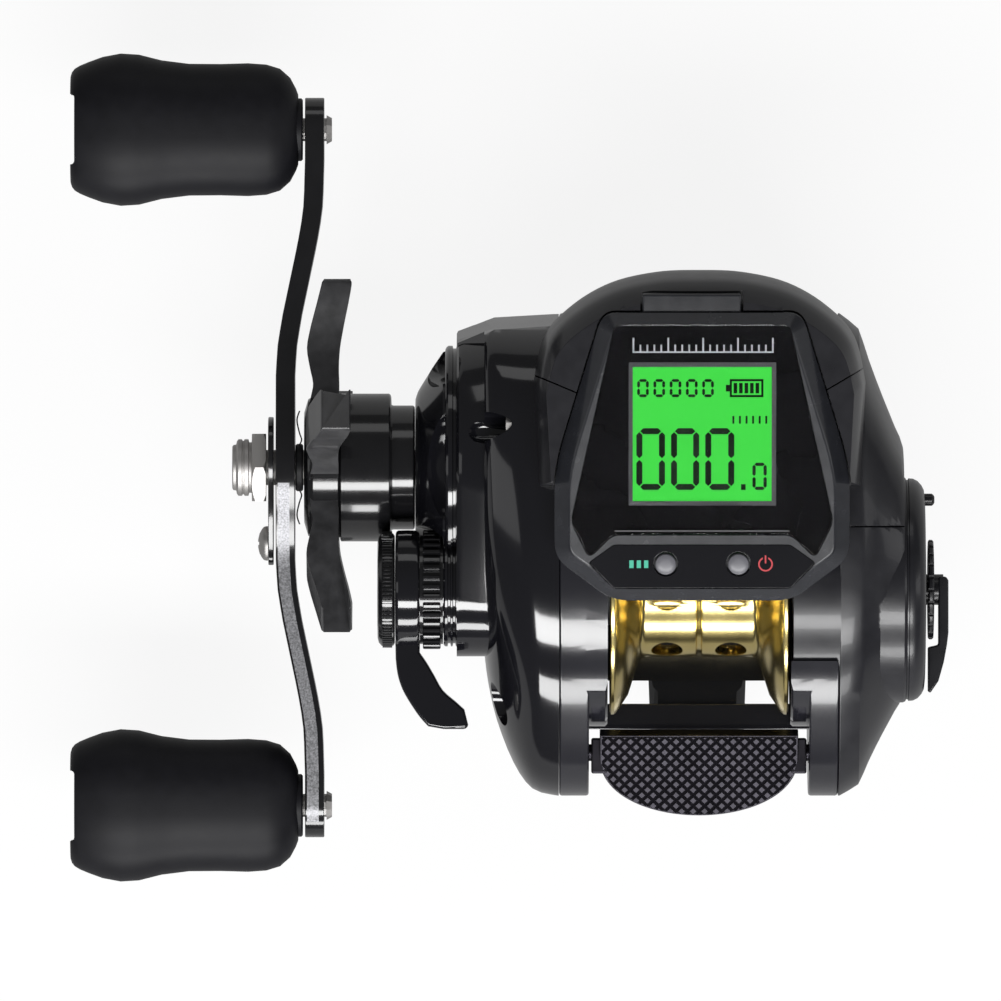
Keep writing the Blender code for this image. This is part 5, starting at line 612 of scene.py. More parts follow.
knob = toothed("knob", -41.15, -39.9, 7.6, 90, 0.2, 0.45)
cap = turned("cap", [(-41.6, 0), (-41.55, 4.6), (-41.75, 5.2), (-41.8, 6.3), (-41.65, 6.9), (-41.25, 7.35),
                     (-40.9, 7.45), (-40.2, 7.45), (-39.75, 7.3), (-39.56, 7.0), (-39.56, 0)], SPOOL_AXIS)
combined(knob, [cap], "UNION")
ready(knob, "tension_cap", BLACK_METAL, "knob", "black_metal", "tension_knob", angle=25)
ring = toothed("ring", -35.9, -33.6, 7.75, 38, 0.75, 0.42)
bevelled(ring, 0.12, 1, 60)
core = turned("core", [(-33.28, 6.2), (-33.28, 7.1), (-36.3, 7.1), (-36.3, 6.2), (-33.28, 6.2)], SPOOL_AXIS)
hole = turned("hole", [(-37, 0), (-37, 6.2), (-33, 6.2), (-33, 0)], SPOOL_AXIS)
combined(ring, [core], "UNION")
combined(ring, [hole], "DIFFERENCE")
ready(ring, "click_wheel", BLACK_METAL, "lever", "black_metal", "click_ring", angle=25)
band = turned("band", [(-36.35, 6.1), (-36.35, 7.3), (-36.5, 7.6), (-36.75, 7.7), (-37.9, 7.74), (-39.1, 7.7), (-39.35, 7.55), (-39.45, 7.3), (-39.5, 6.1),
                       (-36.35, 6.1)], SPOOL_AXIS)
LEVER_EDGE = [(-39.5, -6.2), (-39.45, -9), (-39.2, -11), (-38.6, -12.9), (-37.6, -14.7), (-36.3, -16.6),
              (-35.2, -17.8), (-33.2, -18.15), (-30.1, -18.15), (-30.0, -17.6), (-30.5, -15.6), (-31.6, -14.6),
              (-33.3, -13.1), (-34.4, -11.2), (-35.4, -9.5), (-36.3, -8.2), (-36.3, -6.2)]
blade_outline = [(x, y, 22.4) for x, y in
                 LEVER_EDGE[:1] + eased(LEVER_EDGE[1:7], 3) + eased(LEVER_EDGE[7:9], 1) + LEVER_EDGE[9:10]
                 + eased(LEVER_EDGE[10:16], 3) + LEVER_EDGE[16:]]
blade = bevelled(plate("blade", blade_outline, (0, 0, 5.2)), 0.5, 3, 40)
combined(band, [blade], "UNION")
hole = turned("hole", [(-40, 0), (-40, 6.1), (-36, 6.1), (-36, 0)], SPOOL_AXIS)
combined(band, [hole], "DIFFERENCE")
ready(band, "finger_lever", GLOSS, "lever", "black_gloss", "tension_lever", angle=28)

# %% [markdown]
# ## The gear cover
# The cover on the handle side is one glossy moulding: a shell that closes the frame, a round housing
# over the main gear, a flange, and a cone with five scoops that carries the star. The shell is its own
# outline pushed out and drawn in step by step. Everything round is turned and welded on, and the
# scoops, the screw channel and the screw recess are cut out afterwards.

# %% The shell
SIDE_SHARES = [(-1.00, 0.44), (-0.93, 0.64), (-0.66, 0.81), (-0.34, 0.945), (0.06, 1.0), (0.46, 0.995),
               (0.77, 0.92), (0.95, 0.73), (1.00, 0.46), (0.92, 0.21), (0.62, 0.105), (0.10, 0.10),
               (-0.45, 0.125), (-0.84, 0.25)]


def side_outline(x):
    """The reel's side view as a closed ring of points at a distance along X."""
    return [(x, along * (36 if along > 0 else 26.8), level * 41.5)
            for along, level in eased(SIDE_SHARES, 8, True)]


def drawn_in(name, start, side, stations, pivot):
    """The side outline pushed out along X and drawn in towards a pivot, station by station."""
    piece = drawn_line(name, side_outline(start))
    bpy.ops.mesh.select_all(action="SELECT")
    bpy.ops.mesh.edge_face_add()
    last_x, last_y, last_z = start, 1, 1
    for x, along, up in stations:
        bpy.ops.mesh.extrude_region_move(TRANSFORM_OT_translate={"value": at(x * side - last_x, 0, 0)})
        bpy.ops.transform.resize(value=(1, along / last_y, up / last_z), center_override=at(x * side, *pivot))
        last_x, last_y, last_z = x * side, along, up
    return closed_up(piece, merge=False)


GEAR_DRAW = eased([(18.4, 1, 1), (21.63, 0.985, 0.985), (24.1, 0.93, 0.95), (26.28, 0.84, 0.90),
                   (27.42, 0.76, 0.85), (27.9, 0.70, 0.80)], 3)
cover = drawn_in("cover", -18.2, -1, GEAR_DRAW, (35, 20))


# %% The housing, the flange and the cone


def hull_ring(x, grow):
    """A ring round the crank's and the spool's housings, flat at the bottom, at a distance along X."""
    big, small = 18.2 + grow, 8.7
    run = math.hypot(CRANK[0], CRANK[1] - SPOOL_AXIS[1])
    heading = math.atan2(SPOOL_AXIS[1] - CRANK[1], -CRANK[0])
    lean = math.acos((big - small) / run)
    points = []
    for index in range(61):
        angle = heading + lean + (math.tau - 2 * lean) * index / 60
        points.append((x, min(CRANK[0] + big * math.cos(angle), 35.8), max(CRANK[1] + big * math.sin(angle), 0.4)))
    for index in range(21):
        angle = heading - lean + 2 * lean * index / 20
        points.append((x, small * math.cos(angle), SPOOL_AXIS[1] + small * math.sin(angle)))
    return points


housing = bridged("housing", [hull_ring(x, grow) for x, grow in
                              ((-18.3, 1.2), (-22.5, 1.15), (-26.6, 1.0), (-28.6, 0.55), (-30.6, 0.1), (-31.2, -0.2), (-31.5, -0.7))])
wedge = bridged("wedge", [[(x, 24, 8), (x, high, 8), (x, high, 18), (x, low, top), (x, 24, top)]
                          for x, high, low, top in ((-18.2, 35.96, 34.5, 29.0), (-26.6, 35.5, 34.1, 28.0),
                                                    (-31.4, 33.66, 32.1, 26.0))])
flange = turned("flange", [(-31.0, 0), (-31.0, 15.9), (-31.5, 15.9), (-31.62, 15.55), (-31.95, 15.55), (-32.05, 15.9),
                           (-32.6, 15.9), (-32.85, 15.7), (-33.0, 15.4), (-33.0, 0)], CRANK)
cone = turned("cone", [(-32.0, 0), (-32.0, 15.4), (-32.95, 15.4), (-33.3, 15.25), (-36.2, 10.55), (-36.55, 9.95),
                       (-36.75, 9.4), (-36.9, 8.9), (-36.9, 0)], CRANK, 120)
scoops = []
for index in range(5):
    turn = math.tau * index / 5 + math.pi / 2
    rings = []
    for reach, size in ((17.5, 1.1), (15.5, 1.04), (14.0, 0.97), (13.0, 0.87), (12.3, 0.74), (11.8, 0.55), (11.55, 0.3)):
        rings.append([(-32.5 + 4.3 * size * math.cos(angle),
                       CRANK[0] + reach * math.cos(turn) - 7.4 * size * math.sin(angle) * math.sin(turn),
                       CRANK[1] + reach * math.sin(turn) + 7.4 * size * math.sin(angle) * math.cos(turn))
                      for angle in [math.tau * i / 64 for i in range(64)]])
    scoops.append(bridged("scoop", rings))
combined(cone, scoops, "DIFFERENCE")
boss = turned("boss", [(-31.0, 0), (-31.0, 7.4), (-31.6, 7.4), (-31.7, 7.0), (-31.95, 7.0), (-32.05, 7.4), (-32.25, 7.4),
                       (-32.35, 7.0), (-32.6, 7.0), (-32.7, 7.4), (-33.0, 7.4), (-33.2, 7.2), (-33.2, 5.7), (-38.5, 5.7),
                       (-38.5, 0)], SPOOL_AXIS)
combined(cover, [housing, wedge], "UNION")
slopes = [bridged("slope", [[(x, high, -5), (x, high, 18), (x, low, top), (x, low - (high - low) * 0.6, top + 7),
                             (x, 60, top + 7), (x, 60, -5)] for x, high, low, top in pair])
          for pair in (((-17.0, 36.05, 34.55, 29.0), (-26.6, 35.5, 34.1, 28.0)),
                       ((-26.6, 35.5, 34.1, 28.0), (-37.0, 31.6, 30.0, 24.0)))]
combined(cover, slopes, "DIFFERENCE")
combined(cover, [flange], "UNION")
lever_room = turned("room", [(-33.2, 0), (-33.2, 8.35), (-40, 8.35), (-40, 0)], SPOOL_AXIS)
combined(cone, [lever_room], "DIFFERENCE")
combined(cover, [cone, boss], "UNION")

# %% Recesses for the screws and the bright band of the top edge
channel = turned("channel", [(-33.1, 0), (-33.1, 1.9), (-24.2, 1.9), (-24.0, 1.7), (-24.0, 0)], (21.2, 37.7), 48)
rear_bowl = turned("bowl", [(-33, 0), (-33, 3.6), (-26.4, 2.9), (-24.0, 2.5), (-23.6, 2.4), (-23.6, 0)], (-15, 27), 48)
bore = turned("bore", [(-19.8, 0), (-19.8, 14.5), (-18.0, 14.5), (-18.0, 0)], SPOOL_AXIS)
low_channel = turned("channel", [(-31.0, 0), (-30.4, 0.9), (-29.2, 1.6), (-28.0, 1.75), (-24.1, 1.75), (-24.0, 1.6), (-24.0, 0)],
                     (20.7, 36.7), 48)
combined(cover, [channel, low_channel, rear_bowl, bore], "DIFFERENCE")
ready(cover, "gear_cover_shell", GLOSS, "frame", "black_gloss", "gear_side_cover", angle=24)


# %% [markdown]
# ## The frame
# The frame is one casting: two side plates with a ring in each for the spool, a base, a rear bar and a
# brace. The plates are the side outline pushed out, with rounded edges, and the rest is welded to them
# before the holes are cut.

# %% Two plates, two rings, a base and two bars


def block(name, low, high):
    """A box between two corners, pushed out of its lower face."""
    corners = [(low[0], low[1], low[2]), (high[0], low[1], low[2]), (high[0], high[1], low[2]), (low[0], high[1], low[2])]
    return plate(name, corners, (0, 0, high[2] - low[2]))


castings = []
for side in (-1, 1):
    casting = plate("casting", side_outline(side * 18.15), (-side * 3.85, 0, 0))
    castings.append(bevelled(casting, 0.35, 3, 50))
frame_cast = block("frame_cast", (-14.6, -12, 4.5), (14.6, 35.2, 8.1))
bars = [block("bar", (-14.6, -18.3, 8.5), (14.6, -15, 13.4)), block("bar", (-14.6, 20, 37.6), (14.6, 25, 40.6))]
bars = [bevelled(bar, 0.15, 2, 50) for bar in bars]
rings = [turned("ring", [(side * 11.9, 15.9), (side * 11.9, 17.5), (side * 12.2, 17.8), (side * 14.8, 17.8),
                         (side * 14.8, 15.9), (side * 11.9, 15.9)], SPOOL_AXIS, 120) for side in (-1, 1)]
limit = plate("limit", [(-20, y, z) for _, y, z in side_outline(0)], (40, 0, 0))
combined(frame_cast, rings, "UNION")
combined(frame_cast, [limit], "INTERSECT")
combined(frame_cast, castings + bars, "UNION")
openings = [turned("hole", [(11, 0), (11, 16.9), (19, 16.9), (19, 0)], SPOOL_AXIS, 120),
            turned("hole", [(-15.3, 0), (-15.3, 6), (-11, 6), (-11, 0)], SPOOL_AXIS, 60),
            turned("hole", [(-19, 0), (-19, 4.3), (-15, 4.3), (-15, 0)], SPOOL_AXIS, 48),
            turned("hole", [(-19, 0), (-19, 3.2), (-15.3, 3.2), (-15.3, 0)], CRANK, 48),
            turned("hole", [(-19, 0), (-19, 1.7), (19, 1.7), (19, 0)], (27.0038, 16.2), 36),
            turned("hole", [(15.3, 0), (15.3, 3.2), (19, 3.2), (19, 0)], (27.0038, 16.2), 36),
            turned("hole", [(-15.8, 0), (-15.8, 1.35), (15.8, 1.35), (15.8, 0)], (30.2038, 27.4), 36)]
for side in (-1, 1):
    near, end = sorted((side * 14.1, side * 16.5))
    openings.append(block("slot", (near, -22.6, 21.8), (end, -19.8, 28.6)))
for y in (-8, 8):
    openings.append(block("seat", (-2.5, y - 2.5, 6.1), (2.5, y + 2.5, 9)))
combined(frame_cast, openings, "DIFFERENCE")
WALL = finish("plate_black", (0.014, 0.014, 0.018), 0.16, grain=700, depth=0.002, vary=0.04, coat=0.5)
ready(frame_cast, "cast_frame", WALL, "frame", "black_gloss", "main_frame", angle=28)

# %% [markdown]
# ## The palm side
# On the palm side a satin shell draws in to a round boss that carries the brake dial. It is split in
# two: a fixed shoulder ahead, and a side cover that comes off to change the spool. Both are cut from
# one shell, so that their surfaces run on across the seam.

# %% The shoulder, the side cover and its boss
PALM_DRAW = [(18.4, 1, 1), (19.6, 0.975, 0.992), (20.86, 0.945, 0.98), (21.5, 0.895, 0.967), (22.25, 0.83, 0.95),
             (23.1, 0.765, 0.936), (24.0, 0.70, 0.92), (24.8, 0.645, 0.90), (25.6, 0.59, 0.88), (26.2, 0.555, 0.86),
             (26.6, 0.52, 0.84)]
PALM = finish("palm_satin", (0.012, 0.012, 0.015), 0.30, grain=5600, depth=0.005, vary=0.05, coat=0.15)
shoulder = drawn_in("shoulder", 18.2, 1, PALM_DRAW, (0, 23))
side_cover = drawn_in("side_cover", 18.2, 1, PALM_DRAW, (0, 23))
combined(shoulder, [block("half", (10, -40, -5), (40, 8.3, 60)),
                    turned("socket", [(10, 0), (10, 15.0), (40, 15.0), (40, 0)], SPOOL_AXIS, 120)], "DIFFERENCE")
bevelled(shoulder, 0.18, 2, 60)
combined(side_cover, [block("half", (10, 8.15, -5), (40, 50, 60))], "DIFFERENCE")
bevelled(side_cover, 0.18, 2, 60)
palm_boss = turned("palm_boss", [(12.2, 0), (12.2, 16.5), (18.3, 16.5), (18.3, 14.7), (26.6, 14.7), (26.9, 14.55),
                                 (27.0, 14.3), (27.2, 14.3), (27.3, 14.5), (27.9, 14.45), (28.5, 14.15), (29.0, 13.6),
                                 (29.3, 13.0), (29.4, 12.2), (29.4, 10.6), (29.2, 10.4), (29.2, 8.2), (29.5, 8.0),
                                 (29.5, 0)], SPOOL_AXIS, 144)
combined(side_cover, [palm_boss], "UNION")
room = turned("room", [(11, 6.2), (11, 12.6), (24.8, 12.6), (24.8, 6.2), (11, 6.2)], SPOOL_AXIS, 72)
stem_hole = turned("stem", [(26.7, 0), (26.7, 2.3), (31, 2.3), (31, 0)], SPOOL_AXIS, 36)
pin_hole = turned("pin", [(27.2, 0), (27.2, 1.1), (31, 1.1), (31, 0)], (11.7, 25), 24)
axle_hole = turned("axle", [(11, 0), (11, 3.3), (15, 3.3), (15, 1.9), (19.8, 1.9), (19.8, 0)], SPOOL_AXIS, 36)
combined(side_cover, [room, stem_hole, pin_hole, axle_hole], "DIFFERENCE")
ready(shoulder, "palm_shoulder", PALM, "frame", "black_satin", "palm_front_cover", angle=24)
ready(side_cover, "palm_cover", PALM, "frame", "black_satin", "palm_side_cover", angle=24)

# %% The brake dial, its lever and the stop pin
dial = turned("dial", [(29.85, 0), (29.85, 6.3), (30.0, 6.5), (30.35, 6.5), (30.55, 6.3), (30.6, 5.2), (30.5, 0)],
              SPOOL_AXIS, 96)
notches = []
for index in range(24):
    turn = math.tau * index / 24
    notches.append((6.55 * math.cos(turn), 25 + 6.55 * math.sin(turn)))
combined(dial, [turned("notch", [(29, 0), (29, 0.3), (31, 0.3), (31, 0)], notch, 8) for notch in notches], "DIFFERENCE")
PADDLE = [(31.2, 1.7), (31.2, -7.2), (29.85, -7.5), (29.85, -13.2), (30.1, -13.5), (31.2, -11.9), (31.9, -9.4),
          (32.3, -7.2), (32.5, -5.6), (32.5, 1.2), (32.2, 1.7)]
paddle = bevelled(plate("paddle", [(x, y, 22.9) for x, y in PADDLE], (0, 0, 4.2)), 0.35, 3, 40)
stem = turned("stem", [(27, 0), (27, 2), (31.85, 2), (31.85, 0)], SPOOL_AXIS, 36)
combined(dial, [paddle, stem], "UNION")
ready(dial, "brake_paddle", SATIN, "brake", "black_satin", "brake_lever", angle=30)
pin = turned("pin", [(27.5, 0), (27.5, 0.8), (30.35, 0.8), (30.55, 0.65), (30.7, 0.4), (30.7, 0)], (11.7, 25), 24)
ready(pin, "stop_peg", SATIN, "frame", "black_satin", "brake_stop_pin")

# %% [markdown]
# ## The display's case
# The case lies tilted on the frame, so each of its parts is made flat first and then laid in its
# place. Its outline is bridged through a few levels, which gives the undercut and the wide bevel, and
# the wells for the glass, the screen and the keys are cut from above.

# %% Outlines with soft corners
DISPLAY_TILT = math.radians(8)
DISPLAY_PLACE = (0.25, -0.9, 42.1)


def soft_corners(points, radius, parts=5):
    """A closed outline with each corner rounded by a short curve."""
    loop = []
    count = len(points)
    for index, corner in enumerate(points):
        corner = Vector(corner)
        before, after = Vector(points[index - 1]) - corner, Vector(points[(index + 1) % count]) - corner
        start = corner + before.normalized() * min(radius, before.length * 0.45)
        stop = corner + after.normalized() * min(radius, after.length * 0.45)
        for part in range(parts + 1):
            t = part / parts
            loop.append(tuple(start * (1 - t) ** 2 + corner * 2 * t * (1 - t) + stop * t * t))
    return loop


def shrunk(points, distance):
    """A closed outline moved inwards by a distance."""
    count = len(points)
    area = sum(points[i - 1][0] * points[i][1] - points[i][0] * points[i - 1][1] for i in range(count))
    sign = 1 if area > 0 else -1
    loop = []
    for index in range(count):
        here = Vector(points[index])
        into = (here - Vector(points[index - 1])).normalized()
        out = (Vector(points[(index + 1) % count]) - here).normalized()
        first, second = Vector((-into.y, into.x)), Vector((-out.y, out.x))
        loop.append(tuple(here + (first + second) * sign * distance / max(1 + first.dot(second), 0.3)))
    return loop


def both_halves(right):
    """An outline from its right half, from the bottom to the top."""
    return right + [(-u, v) for u, v in right[::-1]]


def laid(piece, tilt=DISPLAY_TILT, place=DISPLAY_PLACE):
    """Tilt a piece that was made flat and put it where it belongs."""
    clear()
    piece.select_set(True)
    bpy.context.view_layer.objects.active = piece
    piece.rotation_euler = (tilt, 0, 0)
    piece.location = at(*place)
    bpy.ops.object.transform_apply(location=True, rotation=True, scale=True)
    return piece


def level(outline, height):
    """A flat outline as a ring of points at a height."""
    return [(u, v, height) for u, v in outline]


CASE_PLAN = soft_corners(both_halves([(11.6, 0), (19.1, 5.6), (19.1, 16), (18.3, 20), (12.9, 37.6)]), 2.0)
LENS_PLAN = soft_corners(both_halves([(11.6, 8.9), (14.6, 5.9), (16.9, 10.6), (11.3, 36.1)]), 1.0)
PANEL_PLAN = soft_corners(both_halves([(11.4, 1.9), (14.6, 5.2), (11.4, 7.5)]), 0.4)

# %% The case and its wells
case = bridged("case", [level(shrunk(CASE_PLAN, inset), height) for inset, height in
                        ((1.0, 0), (0.9, 0.08), (0.06, 0.84), (0, 0.95), (0, 3.1), (0.05, 3.3), (0.2, 3.45), (1.75, 4.98),
                         (1.95, 5.15), (2.2, 5.2))])
tab = bevelled(block("tab", (-7.75, 33.6, 0.9), (5.05, 39.9, 2.8)), 0.3, 3, 50)
combined(case, [tab], "UNION")
lens_well = plate("well", level(shrunk(LENS_PLAN, -0.12), 3.66), (0, 0, 3))
panel_well = plate("well", level(shrunk(PANEL_PLAN, -0.12), 3.66), (0, 0, 3))
screen_well = block("well", (-10.5, 11.1, 0.8), (10.5, 31.8, 6))
key_well = block("well", (-8, 2.6, 0.8), (8, 12.1, 3.9))
combined(case, [lens_well, panel_well, screen_well, key_well], "DIFFERENCE")
ready(laid(case), "display_case", BEZEL, "frame", "bezel_grey", "display_housing", angle=30)

# %% [markdown]
# ## The screen
# Under the glass lies a black printed mask with a window for the lit screen. The screen glows a
# flat green, and its dark figures are thin plates that lie on it: plain seven-segment noughts, a dot
# and a battery sign. A row of plain scale marks runs above the window.

# %% The glass, the mask and the lit screen
CLEAR = finish("clear_glass", (0.9, 0.9, 0.92), 0.02, grain=200, depth=0.0002, vary=0.01, tint=0.02)
CLEAR.node_tree.nodes["Principled BSDF"].inputs["Transmission Weight"].default_value = 1.0
CLEAR.node_tree.nodes["Principled BSDF"].inputs["IOR"].default_value = 1.3
lens = bevelled(plate("lens", level(LENS_PLAN, 4.0), (0, 0, 0.9)), 0.12, 2, 50)
ready(laid(lens), "clear_lens", CLEAR, "frame", "dark_glass", "display_lens")
MASK = finish("mask_black", (0.005, 0.005, 0.006), 0.14, grain=900, depth=0.0006, vary=0.03, specular=0.2)
mask = plate("mask", level(LENS_PLAN, 3.72), (0, 0, 0.16))
combined(mask, [block("window", (-8.97, 13.1, 3), (8.97, 30.6, 5))], "DIFFERENCE")
ready(laid(mask), "printed_mask", MASK, "frame", "dark_glass")
SCREEN = finish("screen_lit", (0.02, 0.20, 0.022), 0.5, grain=300, depth=0.0005, tint=0.03, specular=0.1)
SCREEN.node_tree.nodes["Principled BSDF"].inputs["Emission Color"].default_value = (0.042, 0.64, 0.050, 1)
SCREEN.node_tree.nodes["Principled BSDF"].inputs["Emission Strength"].default_value = 1.0
screen = bevelled(block("screen", (-9.5, 12.1, 2.2), (9.5, 30.8, 3.66)), 0.1, 2, 50)
ready(laid(screen), "lit_screen", SCREEN, "frame", "screen_green", "lcd_panel")
RIM_GREY = finish("rim_grey", (0.055, 0.055, 0.060), 0.45, grain=2400, depth=0.001)
rim = block("rim", (-9.5, 12.55, 3.88), (9.55, 31.2, 3.92))
combined(rim, [block("window", (-8.97, 13.1, 3), (8.97, 30.6, 5))], "DIFFERENCE")
ready(laid(rim), "window_rim", RIM_GREY, "frame", "dark_glass")

# %% Seven-segment noughts and signs
INK = finish("segment_ink", (0.004, 0.012, 0.004), 0.5, grain=900, depth=0.0005, specular=0.1)


def nought(u, v, wide, high, bar):
    """The six lit bars of a nought, as one thin piece."""
    gap, half = bar * 0.14, bar / 2
    bars = []
    low, middle, top = v + half, v + high / 2, v + high - half
    for x in (u + half, u + wide - half):
        for start, stop in ((low, middle), (middle, top)):
            bars.append([(x, start + gap), (x + half, start + half + gap), (x + half, stop - half - gap), (x, stop - gap),
                         (x - half, stop - half - gap), (x - half, start + half + gap)])
    for y in (low, top):
        left, right = u + half, u + wide - half
        bars.append([(left + gap, y), (left + half + gap, y + half), (right - half - gap, y + half), (right - gap, y),
                     (right - half - gap, y - half), (left + half + gap, y - half)])
    parts = [plate("bar", level(outline, 3.665), (0, 0, 0.05)) for outline in bars]
    return joined(parts[0], parts[1:])


signs = [nought(-8.5, 14.55, 3.7, 8.05, 0.78), nought(-4.02, 14.55, 3.64, 8.05, 0.78), nought(0.4, 14.55, 3.75, 8.05, 0.78),
         nought(6.5, 14.55, 1.85, 3.55, 0.42), block("dot", (5.03, 14.55, 3.665), (5.62, 15.3, 3.715))]
signs += [nought(-8.4 + 2.1 * index, 26.65, 1.5, 2.35, 0.36) for index in range(5)]
signs += [block("tick", (3.9 + 0.85 * index, 23.2, 3.665), (4.15 + 0.85 * index, 24.2, 3.715)) for index in range(6)]
shell = block("shell", (3.55, 26.65, 3.665), (7.9, 29.0, 3.715))
combined(shell, [block("inside", (3.83, 26.93, 3), (7.62, 28.72, 4))], "DIFFERENCE")
signs += [shell, block("nub", (3.05, 27.4, 3.665), (3.55, 28.25, 3.715))]
signs += [block("charge", (4.05 + 0.71 * index, 27.15, 3.665), (4.05 + 0.71 * index + 0.46, 28.5, 3.715)) for index in range(5)]
ready(laid(joined(signs[0], signs[1:])), "screen_figures", INK, "frame", "dark_glass")
PRINT = finish("print_pale", (0.62, 0.62, 0.64), 0.5, grain=900, depth=0.0005, tint=0.02)
marks = [block("mark", (-9.0 + 0.9 * index, 32.65, 3.89), (-8.78 + 0.9 * index, 33.5 + (0.9 if index % 5 == 0 else 0), 3.91))
         for index in range(21)]
marks.append(block("mark", (-9.0, 32.45, 3.89), (9.22, 32.65, 3.91)))
ready(laid(joined(marks[0], marks[1:])), "scale_marks", PRINT, "frame", "dark_glass")
bead = plate("bead", level([(-11.3, 9.25), (11.3, 9.25), (11.3, 9.42), (-11.3, 9.42)], 4.9), (0, 0, 0.06))
ready(laid(bead), "glass_bead", RIM_GREY, "frame", "dark_glass")

# %% The key panel and its two keys


def upright(name, profile, centre, steps=60):
    """A profile of (height, radius) spun round an axis along Z."""
    piece = drawn_line(name, [(centre[0], centre[1] + radius, height) for height, radius in profile])
    bpy.ops.mesh.select_all(action="SELECT")
    bpy.ops.mesh.spin(steps=steps, angle=math.tau, center=at(*centre, 0), axis=(0, 0, 1))
    return closed_up(piece)


panel = plate("panel", level(PANEL_PLAN, 4.0), (0, 0, 0.9))
combined(panel, [upright("hole", [(3, 0), (3, 1.6), (6, 1.6), (6, 0)], (side * 4.7, 5.0)) for side in (-1, 1)], "DIFFERENCE")
bevelled(panel, 0.1, 2, 50)
ready(laid(panel), "key_panel", GLOSS, "frame", "black_gloss", "button_panel")
for side, name, body in ((-1, "set_button", "set_key"), (1, "power_button", "power_key")):
    key = upright("key", [(2.6, 0), (2.6, 1.9), (3.2, 1.9), (3.2, 1.35), (5.0, 1.35), (5.15, 1.25), (5.25, 1.0),
                          (5.3, 0.6), (5.3, 0)], (side * 4.7, 5.0))
    ready(laid(key), f"{name}_dome", KEY, body, "key_grey", name)
TEAL = finish("print_teal", (0.03, 0.42, 0.27), 0.5, grain=900, depth=0.0005, tint=0.02)
RED = finish("print_red", (0.48, 0.02, 0.03), 0.5, grain=900, depth=0.0005, tint=0.02)
teal = [block("mark", (-9.4 + 0.95 * index, 4.5, 4.9), (-8.85 + 0.95 * index, 5.5, 4.93)) for index in range(3)]
ready(laid(joined(teal[0], teal[1:])), "set_mark", TEAL, "frame", "dark_glass")
power = upright("power", [(4.9, 0.75), (4.9, 0.95), (4.93, 0.95), (4.93, 0.75), (4.9, 0.75)], (8.2, 5.0), 48)
combined(power, [block("gap", (7.85, 5.3, 4), (8.55, 7, 6))], "DIFFERENCE")
dash = block("dash", (8.1, 5.1, 4.9), (8.3, 6.15, 4.93))
ready(laid(joined(power, [dash])), "power_mark", RED, "frame", "dark_glass")

# %% [markdown]
# ## The hood
# The hood is the satin dome ahead of the display. It roofs the level wind and frames the line's way
# out. Level outlines are bridged from the bottom to the top, and the covers, the room inside, the
# window and the display's seat are then cut out of the dome.

# %% A dome with a window
HOOD_SIDE = [(0.97, -0.12), (1.0, 0.42), (0.93, 0.66), (0.76, 0.82), (0.53, 0.935), (0.26, 0.99), (0.0, 1.0)]
HOOD_LEVELS = [(0.0, 0.80), (0.12, 0.88), (0.30, 0.965), (0.50, 1.0), (0.72, 0.995), (0.84, 0.97), (0.93, 0.93), (1.0, 0.84)]
half_plan = [HOOD_SIDE[0]] + eased(HOOD_SIDE[1:] + [(-0.26, 0.99)], 6)[:-6]
whole_plan = half_plan + [(-across, ahead) for across, ahead in half_plan[-2::-1]]
rings = []
for share, size in HOOD_LEVELS[:1] + eased(HOOD_LEVELS, 3)[1:]:
    rings.append([(across * 21.6 * (size + 1) / 2, 16.5 + ahead * 25.0 * size, 9.0 + share * 41.2)
                  for across, ahead in whole_plan])
dome = bridged("dome", rings)
bevelled(dome, 0.5, 3, 50)
sides = [plate("side", side_outline(side * 14.0), (side * 30, 0, 0)) for side in (-1, 1)]
room = block("room", (-15.5, -5, -1), (15.5, 37.1, 40.7))
window_plan = soft_corners([(-10.8, -1), (10.8, -1), (10.8, 28.6), (-10.8, 28.6)], 2.4)
window = plate("window", [(x, 10, z) for x, z in window_plan], (0, 40, 0))
base_room = block("base", (-40, -5, -1), (40, 36.3, 8.3))
combined(dome, sides + [room, window, base_room], "DIFFERENCE")
seat = laid(plate("seat", level(shrunk(CASE_PLAN, -0.2), -0.3), (0, 0, 16)))
tab_seat = laid(block("seat", (-8.0, 20, 0.7), (5.3, 40.1, 16)))
combined(dome, [seat, tab_seat], "DIFFERENCE")
seams = [plate("seam", [(-22.5, 28.35, 30), (-15.5, 25.4, 30), (-15.5, 25.2, 30), (-22.5, 28.15, 30)], (0, 0, 30)),
         plate("seam", [(15.0, 25.2, 30), (22.5, 29.6, 30), (22.5, 29.4, 30), (15.0, 25.0, 30)], (0, 0, 30))]
combined(dome, seams, "DIFFERENCE")
ready(dome, "hood_dome", PALM, "frame", "black_satin", "display_hood", angle=28)


# %% [markdown]
# ## The spool
# The spool is turned from aluminium and anodised gold. Its profile runs over the flanges and the drum
# with a shallow groove round the middle, and two rows of lightening holes are bored through the drum.

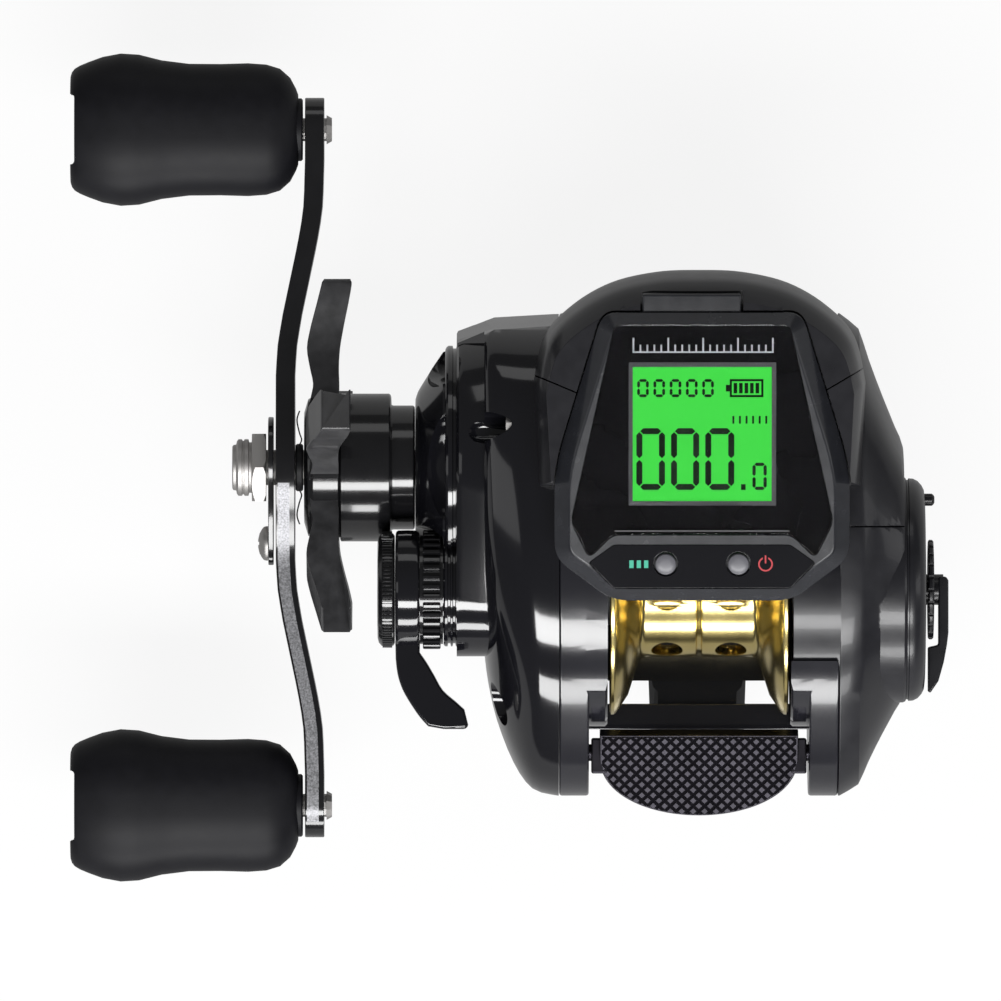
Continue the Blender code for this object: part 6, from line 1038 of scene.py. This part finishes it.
# %% One profile and twelve holes
SPOOL_RIGHT = [(0, 8.25), (0.25, 8.35), (0.42, 8.7), (0.6, 8.75), (6.9, 8.75), (7.4, 8.95), (7.85, 9.5), (8.15, 10.4),
               (9.2, 13.7), (10.2, 15.2), (10.7, 15.95), (11.05, 16.25), (11.4, 16.3), (11.6, 16.05), (11.5, 15.7),
               (11.1, 14.9), (10.4, 13.4), (9.0, 8.6), (8.6, 7.7), (0.8, 7.7), (0.6, 3.2), (9.0, 3.2), (9.0, 1.8)]
drum = turned("drum", SPOOL_RIGHT + [(-x, radius) for x, radius in SPOOL_RIGHT[::-1] if x > 0] + SPOOL_RIGHT[:1],
              SPOOL_AXIS, 144)
bores = []
for row in (-1, 1):
    for index in range(6):
        turn = math.radians(95) + math.tau * index / 6
        rim = []
        for step in range(32):
            angle = math.tau * step / 32
            x, along = row * 4.15 + 2.05 * math.cos(angle), 2.05 * math.sin(angle)
            rim.append((x, 6.9 * math.cos(turn) - along * math.sin(turn), 25 + 6.9 * math.sin(turn) + along * math.cos(turn)))
        bores.append(plate("bore", rim, (0, 2.6 * math.cos(turn), 2.6 * math.sin(turn))))
combined(drum, bores, "DIFFERENCE")
bevelled(drum, 0.12, 2, 55)
ready(drum, "gold_spool", GOLD, "spool_group", "gold", "spool", angle=30)

# %% [markdown]
# ## The thumb bar
# The bar behind the spool is pressed by the thumb, so its top is knurled. A fine grid is turned 45
# degrees and each of its squares is drawn in and raised to a small pad. The grid is then trimmed
# to the bar's outline and laid at its slope.

# %% A knurled top on two posts
THUMB_SLOPE = math.radians(20)
THUMB_PLACE = (0, -19.0, 31.6)
rear = 10.5 / math.cos(THUMB_SLOPE)
bar_plan = [(12.9, 0)]
for step in range(49):
    angle = math.pi * step / 48
    bar_plan.append((12.9 * math.cos(angle), -(3 + (rear - 3) * abs(math.sin(angle)) ** 0.9)))
bar_plan.append((-12.9, 0))
PADS = 28
PAD_PITCH = 1.05
clear()
bpy.ops.mesh.primitive_grid_add(x_subdivisions=PADS, y_subdivisions=PADS, size=PADS * PAD_PITCH * MM,
                                location=at(0, -6, -0.9), rotation=(0, 0, math.pi / 4))
grid = bpy.context.object
bpy.ops.object.transform_apply(location=True, rotation=True, scale=True)
bpy.ops.object.mode_set(mode="EDIT")
bpy.ops.mesh.select_all(action="SELECT")
bpy.ops.mesh.extrude_region_move(TRANSFORM_OT_translate={"value": at(0, 0, 0.72)})
bpy.ops.mesh.inset(thickness=0.24 * MM, depth=0.22 * MM, use_individual=True)
bpy.ops.mesh.select_all(action="SELECT")
bpy.ops.mesh.fill_holes(sides=0)
closed_up(grid, merge=False)
tops = [vertex.co.z for vertex in grid.data.vertices]
print("knurl height", round((max(tops) + 0.18 * MM) / MM, 3))
trim = plate("trim", level(shrunk(bar_plan, 0.25), -2), (0, 0, 4))
combined(grid, [trim], "INTERSECT")
bar = plate("bar", level(bar_plan, -2.6), (0, 0, 2.35))
bevelled(bar, 0.12, 2, 50)
combined(bar, [grid], "UNION")
laid(bar, THUMB_SLOPE, THUMB_PLACE)
posts = []
for side in (-1, 1):
    near, far = sorted((side * 11.9, side * 14.0))
    posts.append(bevelled(block("post", (near, -23.9, 25.8), (far, -19.3, 30.0)), 0.25, 2, 50))
    near, far = sorted((side * 12.2, side * 16.2))
    posts.append(turned("peg", [(near, 0), (near, 1.1), (far, 1.1), (far, 0)], (-21.2, 27.2), 36))
combined(bar, posts, "UNION")
ready(bar, "knurled_bar", THUMB, "thumb", "thumb_grey", "thumb_bar", angle=18)

# %% Black screws in the foot
for end in ("front", "rear"):
    screw = frame["nodes"][f"foot_screw_{end}"]
    for place in screw.material_slots:
        place.material = BLACK_METAL
print("foot screws blackened")
